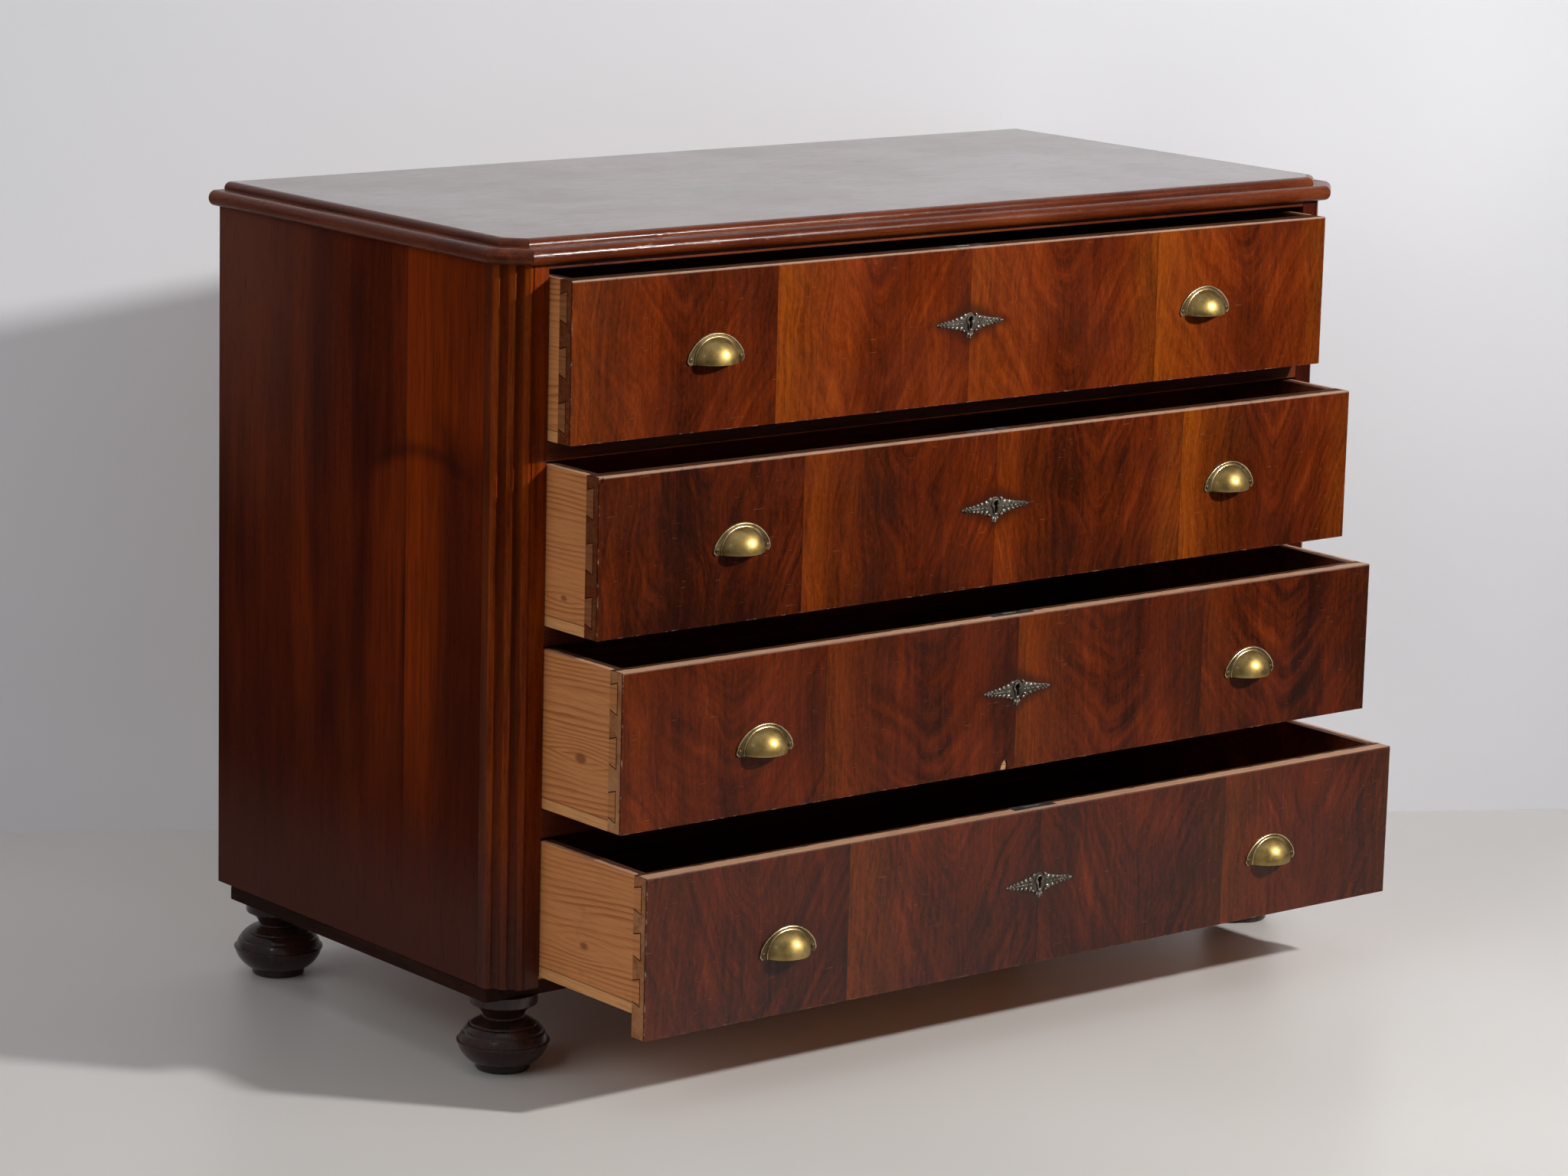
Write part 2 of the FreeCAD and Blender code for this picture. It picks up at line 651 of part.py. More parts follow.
# cup pull: a shell drawn round an upright axis behind the face, on a flange with two ears
cup_radius = "(((cup_width / 2) ^ 2 + cup_projection ^ 2) / (2 * cup_projection))"
cup_setback = "(%s - cup_projection)" % cup_radius
cup_reach, cup_rise = cup_radius + " + overrun", "cup_height + overrun"
dome = [("%s + cup_projection * %s" % (cup_setback, out), "cup_height * %s" % up if up else "0")
        for out, up in DOME_SHARES]
hollow = [("%s - cup_wall + cup_projection * %s" % (cup_setback, out),
           "(cup_height - cup_wall) * %s" % up if up else "0") for out, up in HOLLOW_SHARES]
cup_outside = faceted("cup_outside", [("0", "0")] + dome + [("0", "cup_height")],
                      cup_reach, cup_rise, "cup_facet_count")
cup_inside = faceted("cup_inside", [("0", "-overrun"), (cup_radius + " - cup_wall", "-overrun")] + hollow
                     + [("0", "cup_height - cup_wall")], cup_reach, cup_rise, "cup_facet_count")
flange_edge = [("flange_width / 2 * %s" % out if out else "0",
                "flange_ear_height + (flange_height - flange_ear_height) * %s" % up)
               for out, up in FLANGE_SHARES]
flange_half = [("0", "0"), ("flange_width / 2", "0")] + flange_edge
flange = extruded("cup_flange", flat_sketch("cup_flange_outline", mirrored(flange_half)), "flange_thickness")
place(flange, "0", "-" + cup_setback)
behind_face = board("cup_behind_face", across("flange_width"), ("-" + cup_setback, "flange_width"),
                    ("-overrun", "flange_height + overrun"))
cup_solid = add("Part::MultiFuse", "cup_solid", Shapes=[cup_outside, flange])
pull = cut("cup_pull_master", cup_solid, cup_inside, behind_face)

# drawers, in a frame with y at the front's face and z at the running edge of the sides
front_width_half = "(opening_width / 2 - drawer_side_gap)"
drawer_depth = "(carcass_depth - back_board_thickness - drawer_back_gap)"
rear_shoulder = "(%s - drawer_back_thickness)" % drawer_depth
tray_top = "(tray_rise + tray_thickness)"
tail_length = "(core_thickness - lap_thickness)"
tray_half = "%s - drawer_side_thickness + tray_groove" % front_width_half


def tailed_side(label, height):
    """A drawer side with half-blind tails in front and through tails behind."""
    body = add("PartDesign::Body", label)
    plank = body_sketch(body, label + "_plank", "YZ_Plane", [
        (front_thickness, "0"), (drawer_depth, "0"), (drawer_depth, tray_top), (rear_shoulder, tray_top),
        (rear_shoulder, height), (front_thickness, height)])
    body_pad(body, plank, "drawer_side_thickness", "Symmetric")
    rear_height = "(%s - drawer_back_drop - %s)" % (height, tray_top)
    ends = {"front": (front_thickness, "-" + tail_length, "0", height),
            "rear": (rear_shoulder, "+ drawer_back_thickness", tray_top, rear_height)}
    for end, (shoulder, reach, low, room) in ends.items():
        pitch = "(%s / tail_count)" % room
        middle = "%s + %s / 2" % (low, pitch)
        half_root, half_tip = "%s * tail_root_share / 2" % pitch, "%s * tail_tip_share / 2" % pitch
        tip = shoulder + " " + reach
        tail = body_sketch(body, "%s_%s_tail" % (label, end), "YZ_Plane", [
            (shoulder, "%s - %s" % (middle, half_root)), (tip, "%s - %s" % (middle, half_tip)),
            (tip, "%s + %s" % (middle, half_tip)), (shoulder, "%s + %s" % (middle, half_root))])
        pad = body_pad(body, tail, "drawer_side_thickness", "Symmetric")
        row = body.newObject("PartDesign::LinearPattern", "%s_%s_tails" % (label, end))
        row.Originals = [pad]
        row.Direction = (origin_part(body, "Z_Axis"), [""])
        bind(row, Length="%s * (tail_count - 1)" % pitch, Occurrences="tail_count")
        body.Tip = row
    return body


def drawer_pieces(kind, height, lip):
    """The wooden pieces of one kind of drawer, by the ends of their names."""
    side_middle = "(%s - drawer_side_thickness / 2)" % front_width_half
    blanks = {side: place(tailed_side("%s_side_%s_plank" % (kind, side), height),
                          "%d * %s" % (sign, side_middle)) for side, sign in SIDES.items()}
    whole_width, whole_height = across(front_width_half), ("-" + lip, height)
    tray = board(kind + "_bottom", across(tray_half), (front_thickness + " - tray_groove", drawer_depth),
                 ("tray_rise", tray_top))
    lock_room = link(kind + "_lock_room", lock_block, "0", front_thickness, height)
    key_way = link(kind + "_key_way", keyhole, "0", front_thickness, height)
    core = board(kind + "_front_blank", whole_width, ("veneer_thickness", front_thickness), whole_height)
    facing = board(kind + "_veneer_blank", whole_width, ("0", "veneer_thickness"), whole_height)
    back = board(kind + "_back_blank", whole_width, (rear_shoulder, drawer_depth),
                 (tray_top, height + " - drawer_back_drop"))
    return {
        "front": cut(kind + "_front", core, *blanks.values(), tray, lock_room, key_way),
        "veneer": cut(kind + "_veneer", facing, key_way),
        "side_left": cut(kind + "_side_left", blanks[LEFT], tray),
        "side_right": cut(kind + "_side_right", blanks[RIGHT], tray),
        "back": cut(kind + "_back", back, *blanks.values()),
        "bottom": tray,
    }


usual = drawer_pieces("usual_drawer", "drawer_height", "0")
lowest = drawer_pieces("lowest_drawer", "lowest_drawer_height", "lowest_drawer_lip")
for number in (1, 2, 3, 4):
    name = "drawer_%d_" % number
    face = "%s - drawer_%d_open" % (front_face, number)
    for ending, master in (lowest if number == 4 else usual).items():
        keep(link(name + ending, master, "0", face, running[number] + " + running_gap"))
    for side, sign in SIDES.items():
        keep(link(name + "pull_" + side, pull, "%d * (%s - pull_end_inset)" % (sign, front_width_half),
                  "%s + %s" % (face, cup_setback), "%s - pull_%d_drop" % (drawer_top[number], number)))
    for ending, master in (("escutcheon", escutcheon), ("lock_case", lock_case), ("lock_bolt", bolt)):
        keep(link(name + ending, master, "0", "%s + %s" % (face, front_thickness), drawer_top[number]))

document.recompute()
for thing in document.Objects:
    if "Invalid" in thing.State or "Error" in thing.State:
        raise RuntimeError("%s did not compute" % thing.Label)
shapes = {label: Part.getShape(piece) for label, piece in nodes.items()}
for label, shape in shapes.items():
    if shape.isNull() or not shape.isValid() or not shape.Solids:
        raise RuntimeError("%s has no valid solid" % label)
os.makedirs("parts", exist_ok=True)
for label, shape in shapes.items():
    shape.exportStep("parts/%s.step" % label)
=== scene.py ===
import json
from math import acos, asin, copysign, cos, exp, pi, radians, sin, sqrt, tau

import bmesh
import bpy
from mathutils import Matrix, Vector


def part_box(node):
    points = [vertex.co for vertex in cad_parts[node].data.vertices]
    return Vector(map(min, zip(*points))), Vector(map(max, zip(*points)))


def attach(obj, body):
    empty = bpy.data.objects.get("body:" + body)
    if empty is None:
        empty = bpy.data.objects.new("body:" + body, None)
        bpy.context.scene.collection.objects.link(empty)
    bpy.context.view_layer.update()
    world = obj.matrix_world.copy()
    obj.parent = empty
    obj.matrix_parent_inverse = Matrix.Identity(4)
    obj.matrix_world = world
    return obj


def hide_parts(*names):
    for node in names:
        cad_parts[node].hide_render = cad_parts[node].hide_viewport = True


# A veneered chest of four drawers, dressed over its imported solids. Lengths are in metres unless a
# name ends in _MM; the shapes of the small brasses are drawn in millimetres and scaled by MM.

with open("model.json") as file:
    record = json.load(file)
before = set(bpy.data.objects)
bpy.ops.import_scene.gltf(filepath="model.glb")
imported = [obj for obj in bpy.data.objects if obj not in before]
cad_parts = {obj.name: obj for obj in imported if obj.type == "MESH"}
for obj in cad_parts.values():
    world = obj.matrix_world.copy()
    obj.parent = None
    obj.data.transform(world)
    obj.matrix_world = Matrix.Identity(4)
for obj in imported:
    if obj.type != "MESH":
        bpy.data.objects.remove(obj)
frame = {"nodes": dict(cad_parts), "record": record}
scene = bpy.context.scene
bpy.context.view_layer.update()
BODIES = frame["record"]["behaviour"]["bodies"]
BODY_OF = {node: body for body, members in BODIES.items() for node in members}
MM = 0.001
DRAWERS = (1, 2, 3, 4)
SIDES = {"left": -1, "right": 1}
# from the top of a front down to the middle of its keyhole
KEYHOLE_DROP = 77 * MM


def arithmetic(operation, swapped=False):
    """A method that works out an operation by a node."""
    def act(self, other=0.0):
        return self.graph.math(operation, *((other, self) if swapped else (self, other)))
    return act


class Value:
    """A number worked out by a graph's nodes, with the usual arithmetic."""

    def __init__(self, graph, socket):
        self.graph = graph
        self.socket = socket

    __add__, __radd__ = arithmetic("ADD"), arithmetic("ADD", True)
    __sub__, __rsub__ = arithmetic("SUBTRACT"), arithmetic("SUBTRACT", True)
    __mul__, __truediv__ = arithmetic("MULTIPLY"), arithmetic("DIVIDE")
    __gt__, __lt__ = arithmetic("GREATER_THAN"), arithmetic("LESS_THAN")
    __abs__ = arithmetic("ABSOLUTE")

    def span(self, low, high, start=0.0, end=1.0):
        """A smooth step as the value goes from low to high, between start and end."""
        node = self.graph.add("ShaderNodeMapRange", self, low, high, start, end)
        node.interpolation_type = "SMOOTHSTEP"
        return Value(self.graph, node.outputs["Result"])


class Graph:
    """A node tree, built up value by value."""

    def __init__(self, tree):
        self.tree = tree

    def put(self, socket, value):
        value = value.socket if isinstance(value, Value) else value
        if isinstance(value, bpy.types.NodeSocket):
            self.tree.links.new(value, socket)
        else:
            socket.default_value = value

    def add(self, kind, *values, **named):
        """A new node, its inputs set in their order or by name."""
        node = self.tree.nodes.new(kind)
        for socket, value in zip(node.inputs, values):
            self.put(socket, value)
        for name, value in named.items():
            self.put(node.inputs[name], value)
        return node

    def math(self, operation, *values):
        node = self.tree.nodes.new("ShaderNodeMath")
        node.operation = operation
        for socket, value in zip(node.inputs, values):
            self.put(socket, value)
        return Value(self, node.outputs[0])

    def most(self, first, *others):
        for other in others:
            first = self.math("MAXIMUM", first, other)
        return first

    def root(self, value):
        return self.math("SQRT", value)

    def split(self, vector):
        return [Value(self, each) for each in self.add("ShaderNodeSeparateXYZ", vector).outputs]


class Shade(Graph):
    """A procedural material in the rest coordinates of its piece."""

    def __init__(self, name):
        self.material = bpy.data.materials.new(name)
        self.material.use_nodes = True
        super().__init__(self.material.node_tree)
        self.surface = self.tree.nodes["Principled BSDF"]
        self.place = self.add("ShaderNodeTexCoord").outputs["Object"]
        self.x, self.y, self.z = self.split(self.place)
        self.colour = None

    def set(self, **values):
        for name, value in values.items():
            self.put(self.surface.inputs[name.replace("_", " ")], value)

    def join(self, x, y, z):
        return self.add("ShaderNodeCombineXYZ", x, y, z).outputs[0]

    def noise(self, scale, detail, offset=(0, 0, 0), place=None, rough=0.55, twist=0.0):
        """Clouds of one scale, or stretched by a scale for each axis."""
        place = place or self.place
        if not isinstance(scale, (int, float)):
            place = self.add("ShaderNodeMapping", Vector=place, Location=offset, Scale=scale).outputs[0]
            scale = 1.0
        node = self.add("ShaderNodeTexNoise", Vector=place, Scale=scale, Detail=detail, Roughness=rough,
                        Distortion=twist)
        return Value(self, node.outputs["Fac"])

    def ramp(self, value, *stops):
        """A colour for the value, between stops of a place and a red, green and blue."""
        node = self.add("ShaderNodeValToRGB", value)
        elements = node.color_ramp.elements
        while len(elements) < len(stops):
            elements.new(0.5)
        for element, (position, *colour) in zip(elements, stops):
            element.position = position
            element.color = (*colour, 1)
        return node.outputs["Color"]

    def mix(self, share, first, second):
        node = self.tree.nodes.new("ShaderNodeMix")
        node.data_type = "RGBA"
        for index, value in ((0, share), (6, first), (7, second)):
            self.put(node.inputs[index], (*value, 1) if isinstance(value, tuple) else value)
        return node.outputs[2]

    def stain(self, share, tone):
        self.colour = self.mix(share, self.colour, tone)

    def bump(self, height, distance):
        node = self.add("ShaderNodeBump", Height=height, Distance=distance, Strength=1.0)
        for name in ("Normal", "Coat Normal"):
            self.put(self.surface.inputs[name], node.outputs["Normal"])


# veneers and woods

CANT_MM, POST_WIDTH_MM, POST_DEPTH_MM = 25, 47, 39
FRONT_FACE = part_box("corner_post_right")[0].y
CANT_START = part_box("corner_post_right")[1].x - CANT_MM * MM

SEAMS = (-0.25, 0.0, 0.257)
LEAF_WIDTH = 0.25
# how strong the orange stripe is at the left edge of each leaf, drawer by drawer
STRIPES = {1: (0.35, 0.75, 0.35, 0.95), 2: (0.05, 0.4, 0.2, 0.85),
           3: (0.1, 0.25, 0.4, 0.12), 4: (0.1, 0.4, 0.0, 0.3)}
# figure of each drawer: seed, how steeply the feathers of the grain rise, and tone
FIGURES = {1: (3.1, 1.6, -0.1), 2: (7.4, 2.8, -0.2), 3: (12.6, 1.3, -0.21), 4: (18.9, 2.0, -0.25)}
# how much darker or lighter each leaf is
LEAF_TONES = {1: (-0.08, -0.01, -0.03, -0.01), 2: (-0.08, -0.01, -0.02, 0.0), 3: (0.02, 0.0, 0.0, -0.06),
              4: (0.0, -0.02, -0.05, 0.0)}
# how far the polish of each front shines
SHINE = {1: 0.1, 2: 0.09, 3: 0.15, 4: 0.27}
VENEER_TONES = ((0.04, 0.01, 0.0016, 0.0005), (0.18, 0.03, 0.0045, 0.001),
                (0.38, 0.1, 0.0135, 0.0018), (0.52, 0.165, 0.025, 0.003),
                (0.66, 0.235, 0.043, 0.0045), (0.84, 0.32, 0.075, 0.007))
STRIPE_TONE = (0.245, 0.056, 0.003)
# pale of rubbed tops and arrises; along the fronts' top arris it is also a painted highlight
WORN_AND_HIGHLIGHT_TONE = (0.55, 0.37, 0.27)
DARK_LINE = (0.01, 0.003, 0.001)
# top edges: how far a veneer's arris is rubbed and painted with a highlight, and how deep a front and a side
# show pale before their stain, which on the upper fronts is also painted shadow
EDGE_RUBS_AND_HIGHLIGHTS = {1: 0.7, 2: 0.7, 3: 0.35, 4: 0.15}
PALE_EDGES = {1: 0.003, 2: 0.006, 3: 0.011, 4: 0.0135}
SIDE_PALE = 0.0055
# the stain of a top edge, on the upper fronts also painted shadow
EDGE_STAIN_AND_SHADE = (0.035, 0.011, 0.005)
# how far the fronts' stain was brushed over the tails of each drawer's sides
TAIL_STAINS = {1: 0.8, 2: 0.85, 3: 0.3, 4: 0.1}
# height of the paler slip along the foot of a drawer's side
SLIP_HEIGHT = 0.0114
PORES = (0.56, 0.72)


def lacquer(shade, grain, rough, shine, coat=0.0):
    """Old shellac: an uneven shine, sunk into the grain."""
    cloud = shade.noise((9, 9, 9), 4)
    shade.set(Base_Color=shade.colour, Roughness=cloud.span(0.3, 0.7, *rough), Specular_IOR_Level=shine,
              Coat_Weight=coat, Coat_Roughness=0.12, Coat_IOR=1.5)
    orange_peel = shade.noise(160, 2)
    shade.bump(grain * 0.6 + orange_peel * 0.25 + cloud * 0.7, 0.00012)
    return shade.material


def by_leaf(past, values):
    """The value of the leaf that a point lies on."""
    result = values[0]
    for over, here, before in zip(past, values[1:], values):
        result = result + over * (here - before)
    return result


def front_veneer(number):
    """Slip-matched leaves: each starts with an orange stripe, then feathered red-brown figure."""
    seed, slope, tone = FIGURES[number]
    low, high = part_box("drawer_%d_veneer" % number)
    shade = Shade("front_veneer_%d" % number)
    past = [shade.x > seam for seam in SEAMS]
    leaf = past[0] + past[1] + past[2]
    across = shade.x + 2 * LEAF_WIDTH - leaf * LEAF_WIDTH
    up = shade.z - (low.z + high.z) / 2
    depth = leaf * 0.16 + seed
    local = shade.join(across, depth, up)
    sway = shade.noise((7, 1, 4.5), 2, place=local) - 0.5
    wander = shade.noise((22, 1, 9), 3, (5, 3, 1), local) - 0.5
    shift = sway * 0.085 + wander * 0.018
    sideways = across - 0.135 + shift
    crest = shade.root(sideways * sideways + 0.013 ** 2)
    feathers = up + crest * -slope + sway * 0.05 + wander * 0.012
    zone = shade.noise(1.0, 3, place=shade.join((across + shift * 0.5) * 17, depth, up * 2.2))
    flame = shade.noise(1.0, 4, place=shade.join(feathers * 62, depth, sideways * 11), rough=0.62)
    fine = shade.noise(1.0, 4, place=shade.join((across + shift * 0.8) * 210, depth, up * 9), rough=0.65)
    drift = shade.noise((6, 1, 9), 3, (2, 9, 4), local)
    feather = (flame - 0.5) * drift.span(0.35, 0.65, 0.15, 0.6)
    mottle = shade.noise((330, 1, 170), 3, (seed, 0, 0), rough=0.7)
    leaf_tone = by_leaf(past, [tone - 0.125 + each for each in LEAF_TONES[number]])
    value = zone * 0.46 + fine * 0.32 + drift * 0.3 + feather + mottle * 0.26 + across * -0.3 + leaf_tone
    shade.colour = shade.ramp(value, *VENEER_TONES)
    edge = across + wander * 0.012 + sway * 0.03
    band = shade.most(edge.span(0.022, 0.05, 1, 0), edge.span(0.02, 0.12, 0.55, 0))
    band = band * by_leaf(past, STRIPES[number])
    lead = edge.span(0.205, 0.25, 0, 0.55) * (past[1] * STRIPES[number][3])
    streak = fine.span(0.3, 0.7, 0.35, 1.0) * mottle.span(0.3, 0.7, 0.6, 1.0)
    shade.stain(shade.most(band, lead) * streak, STRIPE_TONE)
    pores = shade.noise((950, 1, 42), 2, (0, seed, 0))
    shade.stain(pores.span(*PORES, 0, 0.55), (0.012, 0.003, 0.001))
    seams = [abs(shade.x - seam).span(0.0002, 0.0008, 0.55, 0) for seam in SEAMS]
    shade.stain(shade.most(*seams), DARK_LINE)
    # old polish gathered about the escutcheon
    halo = abs(shade.x) / 0.052 + abs(shade.z - (high.z - KEYHOLE_DROP)) / 0.021
    shade.stain(halo.span(0.7, 1.35, 0.75, 0), (0.03, 0.007, 0.003))
    # worn arrises: paler along the top, partly rubbed and partly a painted highlight, rubbed at the ends and
    # the foot
    chafe = shade.noise(120, 4, rough=0.7)
    rubbed = chafe.span(0.5, 0.7)
    top_rub_and_highlight = shade.z.span(high.z - 0.0021, high.z - 0.0003)
    top_rub_and_highlight = top_rub_and_highlight * chafe.span(0.2, 0.5, 0.3 * EDGE_RUBS_AND_HIGHLIGHTS[number], EDGE_RUBS_AND_HIGHLIGHTS[number])
    end_rub = (high.x - abs(shade.x)).span(0.0002, 0.0014, 0.7, 0) * rubbed
    foot_rub = shade.z.span(low.z + 0.0002, low.z + 0.0014, 0.55, 0) * rubbed
    shade.stain(shade.most(top_rub_and_highlight, end_rub, foot_rub) * 0.8, WORN_AND_HIGHLIGHT_TONE)
    scratch = shade.noise((60, 1, 900), 1, (seed, 0, 0))
    shade.stain(scratch.span(0.74, 0.8, 0, 0.16), (0.5, 0.28, 0.16))
    return lacquer(shade, fine - pores.span(*PORES, 0, 0.8), (0.22, 0.36), SHINE[number])


def grained(along, lengthwise, across):
    """A scale for each axis: one with the grain, another across it."""
    return [lengthwise if axis == along else across for axis in "xyz"]


def wood(name, along, tones, seed, coarse=26, spread=0.32, shine=0.2, rough=(0.28, 0.45), wear=None,
         coat=0.0, stretch=18.0):
    """Straight-grained veneer or timber, its grain along one axis."""
    shade = Shade(name)
    offset = (seed, seed * 1.7, seed * 0.6)
    broad = shade.noise(grained(along, coarse / stretch, coarse), 3, offset, twist=0.35)
    fine = shade.noise(grained(along, 9, 162), 4, offset, rough=0.65)
    drift = shade.noise(4.5, 2)
    fleck = shade.noise(grained(along, 150, 420), 3, offset, rough=0.7)
    value = broad * 0.6 + fine * spread + drift * 0.3 + fleck * 0.24 - 0.23
    shade.colour = shade.ramp(value, *tones)
    if wear:
        wear(shade, fine)
    pores = shade.noise(grained(along, 40, 900), 2, offset)
    shade.stain(pores.span(*PORES, 0, 0.5), DARK_LINE)
    return lacquer(shade, fine - pores.span(*PORES, 0, 0.8), rough, shine, coat)


CASE_TONES = ((0.26, 0.016, 0.0021, 0.0007), (0.42, 0.05, 0.006, 0.0011),
              (0.56, 0.108, 0.0135, 0.0016), (0.74, 0.19, 0.03, 0.0024), (0.9, 0.27, 0.052, 0.0036))
POST_TONES = ((0.26, 0.01, 0.0012, 0.0005), (0.42, 0.028, 0.0032, 0.0009),
              (0.56, 0.054, 0.0062, 0.0016), (0.74, 0.09, 0.0135, 0.0026), (0.9, 0.126, 0.023, 0.0034))
LIT_TONES = ((0.26, 0.034, 0.0043, 0.0006), (0.42, 0.093, 0.0118, 0.001),
             (0.56, 0.175, 0.025, 0.0014), (0.74, 0.275, 0.049, 0.0022), (0.9, 0.355, 0.079, 0.0034))
RAIL_TONES = ((0.26, 0.026, 0.0045, 0.0014), (0.42, 0.075, 0.0125, 0.0032),
              (0.58, 0.135, 0.025, 0.0055), (0.8, 0.22, 0.052, 0.01))
TOP_TONES = ((0.26, 0.016, 0.005, 0.003), (0.44, 0.045, 0.014, 0.007),
             (0.6, 0.085, 0.027, 0.013), (0.8, 0.14, 0.05, 0.025))
DARK_TONES = ((0.28, 0.008, 0.0037, 0.0029), (0.46, 0.018, 0.0077, 0.0054),
              (0.62, 0.036, 0.013, 0.0088), (0.82, 0.065, 0.023, 0.015))
LINING_TONES = ((0.28, 0.08, 0.018, 0.0085), (0.46, 0.165, 0.037, 0.015),
                (0.62, 0.25, 0.062, 0.023), (0.82, 0.35, 0.098, 0.038))
MOULD_TONES = ((0.26, 0.018, 0.003, 0.001), (0.42, 0.052, 0.0082, 0.002),
               (0.58, 0.098, 0.017, 0.0036), (0.8, 0.17, 0.038, 0.007))
STAINED_TONES = ((0.28, 0.02, 0.003, 0.001), (0.46, 0.085, 0.0135, 0.003),
                 (0.62, 0.15, 0.028, 0.006), (0.82, 0.24, 0.06, 0.015))
CORE_TONES = ((0.28, 0.24, 0.09, 0.034), (0.46, 0.4, 0.175, 0.075),
              (0.62, 0.5, 0.255, 0.125), (0.82, 0.58, 0.33, 0.18))


def side_wear(shade, fine):
    """A brighter leaf behind the front corner, with a joint at its back and a darker foot."""
    y = shade.y + (shade.noise((1, 9, 3), 3) - 0.5) * 0.03
    leaf = shade.y.span(0.0085, 0.0095, 1, 0)
    shade.stain(shade.z.span(0.3, 0.72, 0.5, 0), (0.022, 0.003, 0.001))
    bend = y + 0.02
    knee = shade.z + bend * bend * 3.0 - 0.612
    first = y.span(-0.075, -0.02) * leaf
    second = y.span(0.005, 0.02) * y.span(0.05, 0.085, 1, 0)
    second = second * knee.span(-0.02, 0.0, 0.55, 0.12)
    third = y.span(0.17, 0.19) * y.span(0.2, 0.22, 1, 0) * 0.4
    fore = y.span(-0.13, -0.05, 0.35, 0.75) * leaf * knee.span(0.0, 0.06)
    light = shade.most(first, fore, second, third)
    light = light * shade.z.span(0.16, 0.42, 0.05, 0.85) * fine.span(0.3, 0.7, 0.5, 1)
    # a dark crease over the bend, on the left side only
    crease = abs(knee).span(0.0, 0.014, 0.5, 0) * abs(bend).span(0.04, 0.1, 1, 0)
    shade.stain(light, (0.26, 0.034, 0.0012))
    shade.stain(crease * (shade.x < 0.0), (0.02, 0.004, 0.002))
    shade.stain(abs(shade.y - 0.009).span(0.0002, 0.0009, 0.6, 0), DARK_LINE)
    # greyer towards the foot, and greyer and paler in the top corner at the back
    shade.stain(shade.z.span(0.12, 0.27, 0.9, 0), (0.072, 0.0245, 0.018))
    corner = shade.y.span(0.06, 0.34) * shade.z.span(0.42, 0.82, 0, 0.85)
    shade.stain(corner, (0.128, 0.044, 0.028))


def post_shade_and_wear(shade, fine):
    """Dirt and painted shade in the flutes and quirk, rubbed arrises with a painted highlight between, a
    greyer foot.
    """
    out = abs(shade.x) - CANT_START
    level = shade.y - FRONT_FACE
    sunk = (level - shade.most(out, 0.0)) * 0.7071
    # painted shade with dirt: darker the deeper a point lies in a flute or the quirk
    shade.stain(sunk.span(0.0004, 0.0028, 0, 0.5), (0.014, 0.003, 0.001))
    # the arrises between them: rubbed paler, and a painted highlight
    rub_and_highlight = sunk.span(0.0001, 0.0005, 1, 0) * fine.span(0.4, 0.65, 0.0, 0.35)
    shade.stain(rub_and_highlight * (out > -0.002) * (level < 0.0262), (0.26, 0.062, 0.012))
    # greyer towards the foot
    shade.stain(shade.z.span(0.11, 0.3, 0.78, 0), (0.046, 0.0185, 0.013))


def stained_and_shaded_edge(shade, top, behind, pale):
    """A top edge pale as far as its finish is rubbed, stained behind that, and on upper fronts also painted
    shadow.
    """
    rim = shade.z.span(top - 0.0009, top - 0.0003)
    chafe = (shade.noise(60, 4) - 0.5) * 0.006
    back = (behind + chafe).span(pale - 0.0006, pale + 0.0006)
    shade.stain(rim * 0.45, WORN_AND_HIGHLIGHT_TONE)
    # stain behind the pale strip, on the upper fronts also painted shadow
    shade.stain(rim * back * 0.95, EDGE_STAIN_AND_SHADE)


def drawer_side(shade, fibre, late, number):
    """A stained top edge, a paler slip glued along the foot under a dark joint, and stain on the tails."""
    low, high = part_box("drawer_%d_side_right" % number)
    foot = shade.z - low.z
    stained_and_shaded_edge(shade, high.z, high.x - abs(shade.x), SIDE_PALE)
    pale = shade.mix(fibre.span(0.4, 0.75, 0, 0.5), (0.66, 0.32, 0.12), late)
    shade.stain(foot.span(SLIP_HEIGHT - 0.0006, SLIP_HEIGHT, 1, 0), pale)
    joint = abs(foot - SLIP_HEIGHT).span(0.0002, 0.0011, 0.7, 0)
    shade.stain(joint, (0.1, 0.035, 0.012))
    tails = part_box("drawer_%d_front" % number)[1].y
    brushed = shade.y.span(tails - 0.0008, tails + 0.0008, TAIL_STAINS[number], 0)
    shade.stain(brushed * fibre.span(0.35, 0.65, 1, 0.75), (0.13, 0.038, 0.013))


